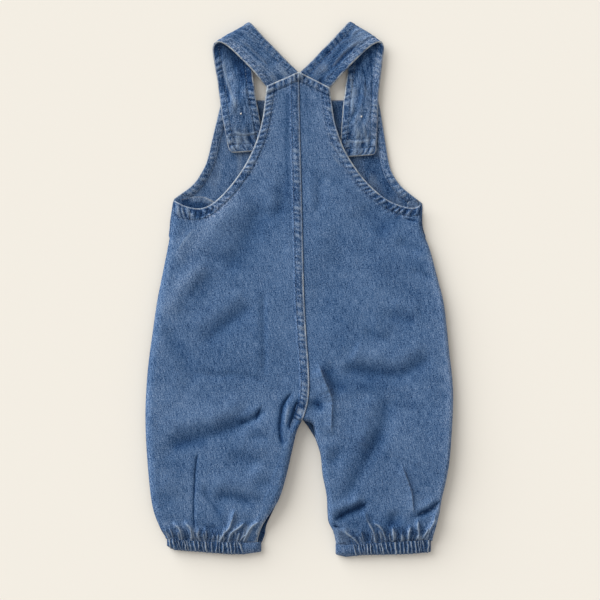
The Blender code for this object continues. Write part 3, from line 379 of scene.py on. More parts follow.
def along_folds(folds, limits=None):
    """Points beside the crisp folds, so that a mesh has its edges along them."""
    made = []
    for fold in folds:
        line = curve(line_of(*fold.places), 0.62)
        at_ = np.concatenate([[0], np.cumsum(np.linalg.norm(np.diff(line, axis=0), axis=1))])
        chord = line[-1] - line[0]
        side = np.array([-chord[1], chord[0]]) / np.linalg.norm(chord)
        sign = -1.0 if side @ LIGHT_FROM > 0 else 1.0
        run = np.gradient(line, axis=0)
        run /= np.linalg.norm(run, axis=1)[:, None]
        left = np.stack([-run[:, 1], run[:, 0]], axis=1)
        for off in (-1.0, -0.42, 0.0, 0.42, 1.0):
            made.append(line + left * (off - sign * waver(at_, fold))[:, None])
    return np.vstack(made)


def fold_shape(points, fold):
    """One fold's height at each point, how steeply it turns away from the light there, which is painted into the colour
    as shade, and its crisp line if it has one.
    """
    line = curve(line_of(*fold.places), 3.0)
    chord = line[-1] - line[0]
    side = np.array([-chord[1], chord[0]]) / np.linalg.norm(chord)
    sign = -1.0 if side @ LIGHT_FROM > 0 else 1.0  # +1 if the line's left is away from the light
    reach = 4.4 * max(fold.up, fold.down)
    low, high = line.min(0) - reach, line.max(0) + reach
    some = np.nonzero(np.all((points > low) & (points < high), axis=1))[0]
    made, dark, core = np.zeros(len(points)), np.zeros(len(points)), np.zeros(len(points))
    if not len(some):
        return made, dark, core
    p = points[some]
    best, left, along = np.full(len(p), 1e9), np.zeros(len(p)), np.zeros(len(p))
    lengths = np.concatenate([[0], np.cumsum(np.linalg.norm(np.diff(line, axis=0), axis=1))])
    for i in range(len(line) - 1):
        a, run = line[i], line[i + 1] - line[i]
        size = np.linalg.norm(run)
        t = np.clip(((p - a) @ run) / size**2, 0, 1)
        off = p - a - t[:, None] * run
        d = np.linalg.norm(off, axis=1)
        s = run[0] * off[:, 1] - run[1] * off[:, 0]
        closer = d < best
        best[closer], left[closer], along[closer] = d[closer], np.sign(s[closer]) * d[closer], (lengths[i] + t * size)[closer]
    u = left * sign
    total = lengths[-1]
    taper = min(0.42 * total, (2.5 + 0.6 * max(fold.up, fold.down)) if fold.kind == "wash" else (6.0 + 1.2 * max(fold.up, fold.down)))
    strength = ease(along / taper) * ease((total - along) / taper)
    strength *= 1 + 0.18 * noise(along, 0 * along, 11.0, 3)
    if fold.kind in ("crack", "crest", "gather"):
        u = u + waver(along, fold)
    w = np.where(u < 0, fold.up, fold.down) * (SOFTER if fold.kind in ("fall", "ridge", "groove") else 1.0)
    t = u / w
    # steep is painted shade: the colour is darkened where a fold turns from the light
    if fold.kind == "fall":
        t = t + 0.6  # its darkest place lies on the line
        t = t / np.where(t < 0, 1.14, 0.90)
        f = -t * np.exp(0.5 - t * t / 2) * fold.height * FALLS
        steep = 1.22 * fold.height / w * np.exp(-0.9 * (t - 0.15) ** 2 * np.where(t < 0.15, 1.25, 1.1))
    elif fold.kind in ("ridge", "groove"):
        t = t - (0.6 if fold.kind == "ridge" else 0.45)  # its lit or dark flank lies on the line
        f = fold.height * np.exp(-t * t) * RIDGES
        steep = np.clip(1.6 * t * f / w, 0, 1)
    elif fold.kind == "wash":
        # a wash changes only the colour: paler as painted light, and with a height below nought darker as painted shade
        f = 0 * t
        steep = -2.1 * fold.height * np.exp(-t * t)
    elif fold.kind == "streak":  # a slight ridge, paler along its line: rubbing and painted highlight
        f = fold.height * np.exp(-t * t)
        steep = 0 * t
        core[some] = 1.5 * np.exp(-((u / 1.0) ** 2)) * strength
    elif fold.kind == "gather":
        f = fold.height * np.exp(-1.2 * (np.sqrt(t * t + 0.06) - math.sqrt(0.06)))
        steep = 0 * t
    else:  # crisp
        f = fold.height * np.exp(-1.1 * (np.sqrt(t * t + 0.006) - math.sqrt(0.006))) * CRISP
        steep = np.clip(np.sign(t) * f / w, 0, 1)
        core[some] = np.sign(fold.height) * np.exp(-((u / 0.6) ** 2)) * strength
    ends = np.exp(-np.maximum(best - np.abs(u), 0))
    made[some] = f * strength * ends
    dark[some] = steep * strength * ends
    core[some] *= ends
    return made, dark, core


def fold_height(points, fold):
    return fold_shape(points, fold)[0]


def gather_shape(points, gather):
    """A gather's sharp crest and its rounded body at each point, full at its foot on the casing."""
    line = curve(line_of(*gather.places), 1.0)
    low, high = line.min(0) - 6.0, line.max(0) + 6.0
    some = np.nonzero(np.all((points > low) & (points < high), axis=1))[0]
    crest, body = np.zeros(len(points)), np.zeros(len(points))
    if not len(some):
        return crest, body
    p = points[some]
    best, left, along = np.full(len(p), 1e9), np.zeros(len(p)), np.zeros(len(p))
    lengths = np.concatenate([[0], np.cumsum(np.linalg.norm(np.diff(line, axis=0), axis=1))])
    for i in range(len(line) - 1):
        a, run = line[i], line[i + 1] - line[i]
        size = np.linalg.norm(run)
        t = np.clip(((p - a) @ run) / size**2, 0, 1)
        off = p - a - t[:, None] * run
        d = np.linalg.norm(off, axis=1)
        s = run[0] * off[:, 1] - run[1] * off[:, 0]
        closer = d < best
        best[closer], left[closer], along[closer] = d[closer], np.sign(s[closer]) * d[closer], (lengths[i] + t * size)[closer]
    total = lengths[-1]
    # every gather's line runs down, so its left is away from the light
    u = left + waver(along, gather)
    strength = ease(along / min(0.5 * total, 7.0)) * (1 + 0.22 * noise(along, 0 * along, 3.5, 3))
    past = np.exp(-np.maximum(best - np.abs(left), 0) / 0.6)
    w = np.where(u < 0, 0.66, 0.78) * gather.width
    t = u / w
    grow = 0.8 + 0.5 * (1 - ease(along / total))
    crest[some] = gather.height / 1.7 * np.exp(-1.2 * (np.sqrt(t * t + 0.05) - math.sqrt(0.05))) * strength * past
    body[some] = gather.height / 1.7 * np.exp(-((u / (1.15 * gather.width * grow)) ** 2)) * np.sqrt(np.clip(strength, 0, 2)) * past
    return crest, body


def as_fold(gather):
    return Fold("gather", gather.places, gather.height, gather.width * 0.5, gather.width * 0.62)


def small_gathers(side):
    """Shorter ridges between the main gathers: each casing ridge carries on up the leg, fanning outwards."""
    rows, middle, half = (RIDGES_LEFT, 206, 46) if side < 0 else (RIDGES_RIGHT, 391, 46)
    foot = 541.5 if side < 0 else 543.5
    rng = np.random.default_rng(19 + side)
    made = []
    for k, (px, lean) in enumerate(rows):
        for extra in (0, 1):
            if rng.uniform() < (0.15 if extra == 0 else 0.45):
                continue
            start = px - 0.4 * lean + extra * (1.9 + 0.5 * rng.uniform(-1, 1))
            length = rng.uniform(10, 20) if extra == 0 else rng.uniform(6, 13)
            fan = (start - middle) / half * 0.55 + rng.uniform(-0.16, 0.16)
            bend = rng.uniform(-1.0, 1.0)
            top = (start + fan * length, foot - length)
            mid = (start + fan * length * 0.45 + bend, foot - length * 0.5)
            size = rng.uniform(0.7, 1.6) * (1.0 if extra == 0 else 0.7)
            made.append(Gather([top, mid, (start, foot + 1)], size, rng.uniform(1.05, 1.45)))
    return made


def lift(points):
    made = np.zeros(len(points))
    for x, y in BUTTONS:
        r = np.hypot(points[:, 0] - x, points[:, 1] - y)
        made = np.maximum(made, LIFT * (1 - ease((r - LIFT_FLAT) / (LIFT_END - LIFT_FLAT))))
    return made


def ridges(x, y, side):
    """Ridges of a casing, 0 to 1, at places in plan; they carry on a little way up the leg."""
    rows = RIDGES_LEFT if side < 0 else RIDGES_RIGHT
    middle = -233.5 if side < 0 else -234.4
    made = np.zeros_like(np.asarray(x, float))
    between = [((a[0] + b[0]) / 2 + 0.5 * math.sin(3.1 * a[0]), (a[1] + b[1]) / 2) for a, b in zip(rows, rows[1:]) if b[0] - a[0] > 4.7]
    for k, (px, lean) in enumerate(rows + between):
        centre = (px - 299.7) * SQUARE + 1.5 * lean * SQUARE * np.clip((middle - y) / 9.0, -0.8, 1.0)
        size = (0.86 if k < len(rows) else 0.66) + 0.20 * math.sin(2.4 * k + 1.0) + 0.3 * noise(y, 0 * y + 3.0 * k, 2.6, 4)
        width = (0.56 if k < len(rows) else 0.42) + 0.15 * math.sin(1.7 * k)
        centre = centre + 0.55 * noise(y, 0 * y + 7.0 * k, 2.7, 2)
        made = np.maximum(made, size * np.exp(-1.15 * (np.sqrt(((x - centre) / width) ** 2 + 0.1) - math.sqrt(0.1))))
    return made


class Form:
    """Heights and tones of the backs' upper face."""

    def __init__(self, points, fine=True):
        self.p = points
        x, y = points[:, 0], points[:, 1]
        rows = BACK_HEIGHTS
        mid = np.interp(y, [r[0] for r in rows], [r[1] for r in rows])
        side, _, _ = SIDES.near(points)
        wide = np.interp(x, [-112, -84, -52, -40, 4, 8, 55, 85, 108, 122], [9.0, 6.0, 4.2, 3.3, 3.6, 5.2, 5.2, 4.2, 3.6, 3.2])  # rounder towards the light
        t = np.clip(side / wide, 0, 1)
        puff = np.sqrt(1 - (1 - t) ** 2.4)
        body = 1 - ease((y - 70) / 60)
        lumps = 1.0 * noise(x + 0.35 * y, y, 43, 1) + 0.42 * noise(x + 0.4 * y, 0.6 * y, 17, 2) + 0.14 * noise(x, 0.7 * y, 8.0, 4)
        mid = mid + lumps * (0.35 + 0.65 * body)
        folds, turned, crisp = np.zeros(len(points)), np.zeros(len(points)), np.zeros(len(points))
        for rows_, where in ((FOLDS_LEFT, x < 11), (FOLDS_RIGHT, x > 0)):
            for fold in rows_:
                made, dark, core = fold_shape(points, fold)
                folds += made * where
                turned += dark * where
                crisp += core * where
        edge = 3.2 + EDGE_RISE * (1 - ease((y - 58) / 16)) * ease((y + 236) / 16)
        z = edge + (mid - edge) * puff + folds * (0.35 + 0.65 * ease(side / 5.0))
        wear, shade = np.zeros(len(points)), np.zeros(len(points))
        # painted shade with some dye kept in the hollows: darker in fold hollows, on slopes turned from the light and
        # along crack lines; where washes paint light, paler instead
        shade += 0.30 * np.clip(-folds / 1.5, 0, 1) + 1.0 * np.where(turned > 0, np.clip(turned, 0, 0.8) * ease(side / 3), np.maximum(turned, -0.6)) + 0.55 * np.clip(-crisp, 0, 1)
        # painted light along the backs' edges on the side away from the light, and a little darker across the hips
        far_side = 0.62 * ease((x - 108) / 12) + 0.50 * ease((x + 52) / 12) * (x < -4) * ease((-160 - y) / 20)
        shade += 0.02 + 0.06 * ease((y + 110) / 40) * (1 - ease((y - 60) / 60)) - far_side * np.exp(-((side / 6.5) ** 2)) * (y < 62)
        # crest lines and fold tops paler: wear and painted highlight
        wear += 0.20 * np.clip(crisp, 0, 2)
        wear += 0.06 * np.clip(folds / 1.5, 0, 1)

        # over the straps
        arm = np.minimum(ARM_LEFT.near(points)[0], ARM_RIGHT.near(points)[0])
        zone = ease((y - 104) / 14) * (1 - ease((y - 166) / 12))
        over = STRAP_ON_BIB + STRAP_CLOTH + 0.9 + DENIM + lift(points)
        z = z + (np.maximum(z, over) - z) * zone * (1 - ease((arm - 9) / 11))
        self.z, self.wear, self.shade, self.cream = z, wear, shade, np.zeros(len(points))
        self.rub = 0.2 * np.clip(1 - side / 5, 0, 1)
        self.side = side
        if fine:
            self.bands()
        self.gathers()

    def bands(self):
        x, y = self.p[:, 0], self.p[:, 1]
        for edge, width, seed, grow in ((ARM_LEFT, 7.4, 0, 1), (ARM_RIGHT, 7.4, 1, 1), (TOP_LEFT, 7.2, 2, 0), (TOP_RIGHT, 7.2, 3, 0)):
            d, s, _ = edge.near(self.p)
            near = d < 24
            d_, s_ = d[near], s[near]
            total = edge.at[-1]
            w = width + (grow * 3.6 * ease((s_ - 0.72 * total) / (0.2 * total)) if edge is ARM_LEFT else 0)
            strong = (1.2 if grow else 1.55) + ((0.75 if edge is ARM_LEFT else 0.7) * ease((s_ - 0.6 * total) / (0.25 * total)) if grow else 0)
            swell = pucker(s_, d_, 4.9 if grow else 5.3, seed, 0.55 if grow else -0.3)
            across = np.sin(math.pi * np.clip(d_ / w, 0, 1)) ** 0.8
            beyond = np.exp(-np.maximum(d_ - w, 0) / 2.6) * (d_ > w)
            row = 1.2 * np.exp(-(((d_ - w) / 0.58) ** 2))
            raised = 0.45 * (1 - ease((d_ - w) / 1.0))
            h = 0.85 * strong * swell * across + 0.42 * (swell - 0.4) * beyond - 0.5 * row + raised
            self.z[near] += h
            # swells paler and hollows darker: wear and painted highlight on the swells, kept dye and painted shade in
            # the hollows; the stitch row a darker line
            light = np.clip((swell - 0.42) / 0.5, 0, 1)
            dark = np.clip((0.5 - swell) / 0.5, 0, 1)
            self.wear[near] += 0.84 * light**1.3 * across + 0.22 * light * beyond
            self.shade[near] += strong * (0.74 * dark * across + 0.34 * dark * beyond) + 0.66 * row * (0.6 + 0.8 * dark)
            broken = 0.72 + 0.45 * noise(s_, 0 * s_, 4.3, 5 + seed)
            end = ease((s_ - 0.66 * total) / (0.2 * total)) if grow else 0  # thinner and greyer towards the underarm
            lip = (0.84 - 0.26 * end) * np.exp(-(((d_ - 0.50) / (0.48 - 0.10 * end)) ** 4)) * np.clip(broken, 0.25, 1)
            self.cream[near] = np.maximum(self.cream[near], lip)
            self.shade[near] += 0.36 * np.exp(-(((d_ - 2.0) / 0.6) ** 2))
            self.rub[near] = np.maximum(self.rub[near], 0.9 * (1 - ease((d_ - w - 0.5) / 3.0)))

    def gathers(self):
        x, y = self.p[:, 0], self.p[:, 1]
        for side, rows in ((-1, GATHERS_LEFT), (1, GATHERS_RIGHT)):
            d, _, left = CUFF_LINE[side].near(self.p)
            near = (d < 34) & (np.sign(x) == side)
            if not near.any():
                continue
            p = self.p[near]
            d_ = d[near]
            crest, body = np.zeros(len(p)), np.zeros(len(p))
            for k, g in enumerate(rows + small_gathers(side)):
                c, b = gather_shape(p, g)
                crest, body = np.maximum(crest, c), np.maximum(body, b * (1.0 if k < len(rows) else 0.55))
            patch = ease((p[:, 0] + 52.0) / 4.0) if side < 0 else 1 - ease((p[:, 0] - 42.0) / 5.0)
            uneven = noise(p[:, 0], 0 * p[:, 0] + 50, 7.0, 2) + 0.5 * noise(p[:, 0], 0 * p[:, 0] + 20, 3.2, 4)
            pinch = (1 - ease((d_ - 1.0) / ((14.0 if side < 0 else 18.0) + 4.0 * uneven))) * (1 - patch)
            self.z[near] += 1.6 * crest + 1.5 * body - 1.6 * pinch**1.5
            level = 6.85 - 2.2 * (1 - ease(d_ / 1.8)) + 0.8 * crest  # the hem goes in under the casing, level with it
            self.z[near] += 0.85 * (1 - ease((d_ - 1.6) / 2.6)) * (level - self.z[near])
            # pale crests: wear and painted highlight; painted shade in the hollows between the gathers near the casing
            # and along the hem
            lit = np.clip((crest - 0.40) / 0.40, 0, 1) ** 1.1 * (1 - ease((d_ - 18) / 8))
            self.wear[near] += 0.84 * lit + 0.14 * np.clip(body, 0, 1) * pinch
            self.rub[near] = np.maximum(self.rub[near], (0.9 - 0.6 * patch) * (1 - ease((d_ - 8) / 12)))
            self.shade[near] += (0.74 if side < 0 else 0.88) * (0.78 + 0.45 * ease((d_ - 3) / 7)) * pinch**0.6 * np.clip(1 - 1.15 * body**1.6, 0, 1) + 0.10 * patch * np.exp(-((d_ / 1.4) ** 2))
            if side < 0:  # the flat corner by the inseam, with its pale edge
                edge = np.exp(-((self.side[near] / 1.1) ** 2)) * ease((-205 - p[:, 1]) / 6) * ease((p[:, 0] + 43) / 3)
                self.cream[near] = np.maximum(self.cream[near], 0.75 * edge)
                self.wear[near] += 0.42 * patch * (1 - ease((d_ - 14) / 6))
            else:
                self.wear[near] += 0.18 * patch * (1 - ease((d_ - 14) / 5))


# ---- meshes ----------------------------------------------------------------------------------------------------------
def within_rows(xs, ys, outline):
    """Which places of a grid lie inside an outline, row by row."""
    nxt = np.roll(outline, -1, 0)
    found = np.zeros((len(ys), len(xs)), bool)
    for j, y in enumerate(ys):
        hit = (outline[:, 1] > y) != (nxt[:, 1] > y)
        a, b = outline[hit], nxt[hit]
        cut = np.sort(a[:, 0] + (b[:, 0] - a[:, 0]) * (y - a[:, 1]) / (b[:, 1] - a[:, 1]))
        found[j] = np.searchsorted(cut, xs) % 2 == 1
    return found


def spread(outline, most):
    """The closed outline with its long stretches divided."""
    made = []
    for p, q in zip(outline, np.roll(outline, -1, 0)):
        n = max(1, math.ceil(np.hypot(*(q - p)) / most))
        made += [p + (q - p) * k / n for k in range(n)]
    return np.array(made)


def fill(outline, step, fine=None, rings=(0.16, 0.45, 0.95), holes=(), extra=None):
    """Triangles over an outline. Returns points, triangles and each point's distance from the rim (9 where it is far).
    `fine` says where the grid is twice as close."""
    rng = np.random.default_rng(5)
    loops = [outline, *holes]
    close = np.vstack([spread(l, 0.25) for l in loops])
    rim_tree = kdtree.KDTree(len(close))
    for k, p in enumerate(close):
        rim_tree.insert((p[0], p[1], 0), k)
    rim_tree.balance()
    far = lambda pts: np.array([rim_tree.find((x, y, 0))[2] for x, y in pts]) if len(pts) else np.zeros(0)
    made, rims = [], []
    for depth in rings:
        for n, l in enumerate(loops):
            sign = 1 if area_of(l) > 0 else -1
            ring = aside(l, depth * sign * (1 if n == 0 else -1), True)
            ok = (far(ring) > depth * 0.93) & inside(ring, outline)
            made.append(ring[ok])
            rims.append(np.full(ok.sum(), depth))
    half = step / 2
    low, high = outline.min(0), outline.max(0)
    xs = np.arange(low[0], high[0], half)
    ys = np.arange(low[1], high[1], half)
    found = within_rows(xs, ys, outline)
    j, i = np.nonzero(found)
    grid = np.stack([xs[i], ys[j]], axis=1)
    coarse = ((i % 2 == 0) & (j % 4 == 0)) | ((i % 2 == 1) & (j % 4 == 2))
    if fine is not None:
        take = coarse.copy()
        rest = np.nonzero(~coarse)[0]
        take[rest] = fine(grid[rest])
        grid = grid[take]
    else:
        grid = grid[coarse]
    grid = grid + rng.uniform(-0.09, 0.09, grid.shape) * min(step, 1.2)
    d = far(grid)
    keep = d > (rings[-1] if rings else 0) + 0.35 * step
    for hole in holes:
        keep &= ~inside(grid, hole)
    grid = grid[keep]
    if extra is not None and len(extra):
        extra = extra[inside(extra, outline)]
        extra = extra[far(extra) > (rings[-1] if rings else 0) + 0.3]
        spots = kdtree.KDTree(len(extra))
        kept = []
        for k, p in enumerate(extra):  # none too close to another
            spots.insert((p[0], p[1], 0), k)
        spots.balance()
        gone = np.zeros(len(extra), bool)
        for k, p in enumerate(extra):
            if not gone[k]:
                kept.append(k)
                for _, other, _ in spots.find_range((p[0], p[1], 0), 0.24):
                    if other != k:
                        gone[other] = True
        extra = extra[kept]
        spots = kdtree.KDTree(len(extra))
        for k, p in enumerate(extra):
            spots.insert((p[0], p[1], 0), k)
        spots.balance()
        clear = np.array([spots.find((p[0], p[1], 0))[2] > 0.36 for p in grid])
        grid = grid[clear]
        made.append(extra)
        rims.append(np.full(len(extra), 9.0))
    made.append(grid)
    rims.append(np.full(len(grid), 9.0))
    loose = np.vstack(made)
    points, edges = [], []
    for l in loops:
        start, n = len(points), len(l)
        points += [Vector((float(p[0]), float(p[1]))) for p in l]
        edges += [(start + a, start + (a + 1) % n) for a in range(n)]
    n_rim = len(points)
    points += [Vector((float(p[0]), float(p[1]))) for p in loose]
    flat, _, faces, orig, *_ = delaunay_2d_cdt(points, edges, [], 0, 1e-6)
    flat = np.array([tuple(p) for p in flat])
    faces = np.array([tuple(f) for f in faces if len(f) == 3])
    source = np.array([o[0] if len(o) else -1 for o in orig])
    rim = np.where((source >= 0) & (source < n_rim), 0.0, 9.0)
    loose_rim = np.concatenate(rims)
    is_loose = source >= n_rim
    rim[is_loose] = loose_rim[source[is_loose] - n_rim]
    doubt = np.all(rim[faces] == 0.0, axis=1)
    good = ~doubt
    if doubt.any():
        mid = flat[faces[doubt]].mean(1)
        ok = inside(mid, outline)
        for hole in holes:
            ok &= ~inside(mid, hole)
        good[np.nonzero(doubt)[0][ok]] = True
    faces = faces[good]
    used = np.unique(faces)
    back = np.full(len(flat), -1)
    back[used] = np.arange(len(used))
    return flat[used], back[faces], rim[used]


def make_mesh(name, verts, faces, tones, material, cloth=None):
    """A smooth mesh from points in millimetres, with its tones and cloth places as attributes."""
    mesh = bpy.data.meshes.new(name)
    verts = np.asarray(verts, np.float64) * MM
    if isinstance(faces, np.ndarray):
        n = faces.shape[1]
        mesh.vertices.add(len(verts))
        mesh.vertices.foreach_set("co", verts.ravel())
        mesh.loops.add(faces.size)
        mesh.loops.foreach_set("vertex_index", faces.ravel().astype(np.int32))
        mesh.polygons.add(len(faces))
        mesh.polygons.foreach_set("loop_start", np.arange(0, faces.size, n, dtype=np.int32))
    else:
        mesh.from_pydata([tuple(v) for v in verts], [], [tuple(f) for f in faces])
    mesh.update(calc_edges=True)
    mesh.validate()
    mesh.shade_smooth()
    for key, values in tones.items():
        layer = mesh.attributes.new(key, "FLOAT", "POINT")
        layer.data.foreach_set("value", np.clip(np.asarray(values, np.float32), -0.8 if key == "shade" else 0, 1))
    if cloth is not None:
        layer = mesh.attributes.new("cloth", "FLOAT_VECTOR", "POINT")
        layer.data.foreach_set("vector", np.asarray(cloth, np.float32).ravel())
    mesh.materials.append(material)
    made = bpy.data.objects.new(name, mesh)
    bpy.context.scene.collection.objects.link(made)
    return made


def rounding(rim, thick, reach=0.95):
    """How far a face draws in towards the cloth's middle near its rim."""
    t = np.clip(rim / reach, 0, 1)
    return thick / 2 * (1 - np.sqrt(1 - (1 - t) ** 2))


def without_fins(faces):
    """Leaves out triangles that both faces of a closed shell have on its rim: flat, with nothing between them."""
    _, which, count = np.unique(np.sort(faces, axis=1), axis=0, return_inverse=True, return_counts=True)
    return faces[count[which.reshape(-1)] == 1]


def shell(name, outline, top, bottom, thick, material, step, step_below, fine=None, holes=(), shift=0.0, extra=None):
    """A thin closed shell: a close-meshed upper face and a plainer lower one that share their rim.
    `top` and `bottom` give (height, tones) at points."""
    if area_of(outline) < 0:
        outline = outline[::-1]
    outline = spread(outline, 1.0)
    p1, f1, r1 = fill(outline, step, fine, holes=holes, extra=extra)
    p2, f2, r2 = fill(outline, step_below, None, holes=holes, rings=(0.2, 0.8))
    z1, tones1 = top(p1)
    z2, tones2 = bottom(p2)
    middle1 = (z1 + bottom(p1)[0]) / 2 if thick is None else z1 - thick / 2
    z1 = z1 - np.minimum(rounding(r1, 1.0) * 2, 1) * (z1 - middle1)
    # the lower face meets the upper one on the rim
    on1, on2 = np.nonzero(r1 == 0)[0], np.nonzero(r2 == 0)[0]
    tree = kdtree.KDTree(len(on1))
    for i in on1:
        tree.insert((p1[i, 0], p1[i, 1], 0), int(i))
    tree.balance()
    twin = {int(j): tree.find((p2[j, 0], p2[j, 1], 0))[1] for j in on2}
    rim_z = np.array([z1[twin[int(j)]] for j in on2])
    t = np.minimum(rounding(r2, 1.0, 0.8) * 2, 1)
    near = t > 0
    edge_tree = kdtree.KDTree(len(on2))
    for k, j in enumerate(on2):
        edge_tree.insert((p2[j, 0], p2[j, 1], 0), k)
    edge_tree.balance()
    for j in np.nonzero(near)[0]:
        k = edge_tree.find((p2[j, 0], p2[j, 1], 0))[1]
        z2[j] += (rim_z[k] - z2[j]) * t[j]
    index = np.arange(len(p2)) + len(p1)
    for j, i in twin.items():
        index[j] = i
    faces = np.vstack([f1, index[f2][:, ::-1]])
    verts = np.vstack([np.column_stack([p1, z1]), np.column_stack([p2, z2])])
    tones = {k: np.concatenate([tones1[k], tones2[k]]) for k in tones1}
    keep = np.ones(len(verts), bool)
    keep[len(p1) + on2] = False
    move = np.cumsum(keep) - 1
    verts, faces = verts[keep], move[faces]
    tones = {k: v[keep] for k, v in tones.items()}
    cloth = verts.copy()
    cloth[:, 2] = shift
    return make_mesh(name, verts, without_fins(faces), tones, material, cloth)


# ---- materials -------------------------------------------------------------------------------------------------------
def nodes_of(name):
    material = bpy.data.materials.new(name)
    material.use_nodes = True
    tree = material.node_tree
    return material, tree, tree.nodes["Principled BSDF"]


def denim(name, tone, pale=(0.31, 0.39, 0.49), strength=1.0, flecks=1.0):
    """Washed denim: slubs along the warp, a fine speckle, a blotchy wash, wear and painted highlight on ridges, and
    painted shade with some dye kept in hollows, darker and bluer in creases, hollows and on slopes turned from the
    light.
    """
    material, tree, shader = nodes_of(name)
    new, link = tree.nodes.new, tree.links.new

    def attribute(key):
        node = new("ShaderNodeAttribute")
        node.attribute_name = key
        return node

    def math_node(kind, a, b=None, c=None):
        node = new("ShaderNodeMath")
        node.operation = kind
        for socket, value in zip(node.inputs, (a, b, c)):
            if value is None:
                continue
            if isinstance(value, (int, float)):
                socket.default_value = value
            else:
                link(value, socket)
        return node.outputs[0]

    def stretched(factors, shift=0.0):
        node = new("ShaderNodeMapping")
        node.inputs["Scale"].default_value = factors
        node.inputs["Location"].default_value = (shift, shift * 0.7, 0)
        link(place, node.inputs["Vector"])
        return node.outputs[0]

    def noise_node(vector, detail, rough=0.6):
        node = new("ShaderNodeTexNoise")
        node.inputs["Scale"].default_value = 1.0
        node.inputs["Detail"].default_value = detail
        node.inputs["Roughness"].default_value = rough
        link(vector, node.inputs["Vector"])
        return node.outputs["Fac"]

    split = new("ShaderNodeSeparateXYZ")
    link(attribute("cloth").outputs["Vector"], split.inputs[0])
    tilt = new("ShaderNodeCombineXYZ")  # the twill leans the slubs a little off the warp
    link(math_node("MULTIPLY_ADD", split.outputs["Y"], 0.26, split.outputs["X"]), tilt.inputs["X"])
    link(split.outputs["Y"], tilt.inputs["Y"])
    link(split.outputs["Z"], tilt.inputs["Z"])
    place = tilt.outputs[0]
    slub = math_node("SUBTRACT", noise_node(stretched((1.55, 0.62, 1)), 1.0, 0.6), 0.5)
    speck = math_node("SUBTRACT", noise_node(stretched((1.9, 1.6, 1), 40), 0.0, 0.5), 0.5)
    streak = math_node("SUBTRACT", noise_node(stretched((1.3, 0.13, 1), 90), 0.0, 0.6), 0.5)
    wash = math_node("SUBTRACT", noise_node(stretched((0.028, 0.022, 1), 7), 3.0, 0.55), 0.5)
    blot = math_node("SUBTRACT", noise_node(stretched((0.15, 0.08, 1), 23), 2.0, 0.6), 0.5)
    grain = math_node("MULTIPLY", slub, 2.5 * flecks)
    grain = math_node("MULTIPLY_ADD", speck, 2.6 * flecks, grain)
    grain = math_node("MULTIPLY_ADD", streak, 1.35 * flecks, grain)
    rubbed = math_node("MULTIPLY_ADD", attribute("rub").outputs["Fac"], 1.0, 1.0)
    value = math_node("MULTIPLY_ADD", grain, rubbed, 1.0)
    value = math_node("MULTIPLY_ADD", wash, 0.9, value)
    value = math_node("MULTIPLY_ADD", blot, 0.32, value)
    value = math_node("MAXIMUM", value, 0.2)
    # the shade attribute darkens the colour: painted shade with some kept dye, and below nought painted light
    shade = math_node("MULTIPLY_ADD", attribute("shade").outputs["Fac"], -0.72 * strength, 1.0)
    value = math_node("MULTIPLY", value, shade)
    # painted shade and kept dye come out not only darker but bluer
    bluer_when_darker = new("ShaderNodeCombineXYZ")
    for axis, power in zip("XYZ", (1.5, 1.04, 0.72)):
        link(math_node("POWER", value, power), bluer_when_darker.inputs[axis])
    base = new("ShaderNodeVectorMath")
    base.operation = "MULTIPLY"
    base.inputs[0].default_value = tone
    link(bluer_when_darker.outputs[0], base.inputs[1])
    wear_and_highlight_mix = math_node("MULTIPLY", attribute("wear").outputs["Fac"], math_node("MULTIPLY_ADD", speck, 1.2, 0.72))
    wear_and_highlight_mix = math_node("MULTIPLY", wear_and_highlight_mix, strength)
    mix = new("ShaderNodeMix")
    mix.data_type = "RGBA"
    mix.clamp_factor = True
    link(wear_and_highlight_mix, mix.inputs["Factor"])
    link(base.outputs[0], mix.inputs["A"])
    mix.inputs["B"].default_value = (*pale, 1)
    cream = math_node("MULTIPLY", attribute("cream").outputs["Fac"], math_node("MULTIPLY_ADD", speck, 1.4, 0.86))
    mix2 = new("ShaderNodeMix")
    mix2.data_type = "RGBA"
    mix2.clamp_factor = True
    link(cream, mix2.inputs["Factor"])
    link(mix.outputs["Result"], mix2.inputs["A"])
    mix2.inputs["B"].default_value = (0.57, 0.60, 0.585, 1)
    link(mix2.outputs["Result"], shader.inputs["Base Color"])

    twill = new("ShaderNodeTexWave")
    twill.wave_type = "BANDS"
    twill.bands_direction = "DIAGONAL"
    twill.inputs["Scale"].default_value = 0.42
    twill.inputs["Distortion"].default_value = 1.5
    twill.inputs["Detail"].default_value = 1.0
    link(stretched((1.0, 1.0, 0.0)), twill.inputs["Vector"])
    height = math_node("MULTIPLY_ADD", slub, 1.2, math_node("MULTIPLY", twill.outputs["Fac"], 0.3))
    height = math_node("MULTIPLY_ADD", speck, 0.8, height)
    bump = new("ShaderNodeBump")
    bump.inputs["Strength"].default_value = 0.35
    bump.inputs["Distance"].default_value = 0.0005
    link(height, bump.inputs["Height"])
    link(bump.outputs["Normal"], shader.inputs["Normal"])
    rough = math_node("MULTIPLY_ADD", slub, 0.16, 0.86)
    link(rough, shader.inputs["Roughness"])
    shader.inputs["Specular IOR Level"].default_value = 0.04
    shader.inputs["Sheen Weight"].default_value = 0.03
    shader.inputs["Sheen Roughness"].default_value = 0.5
    return material


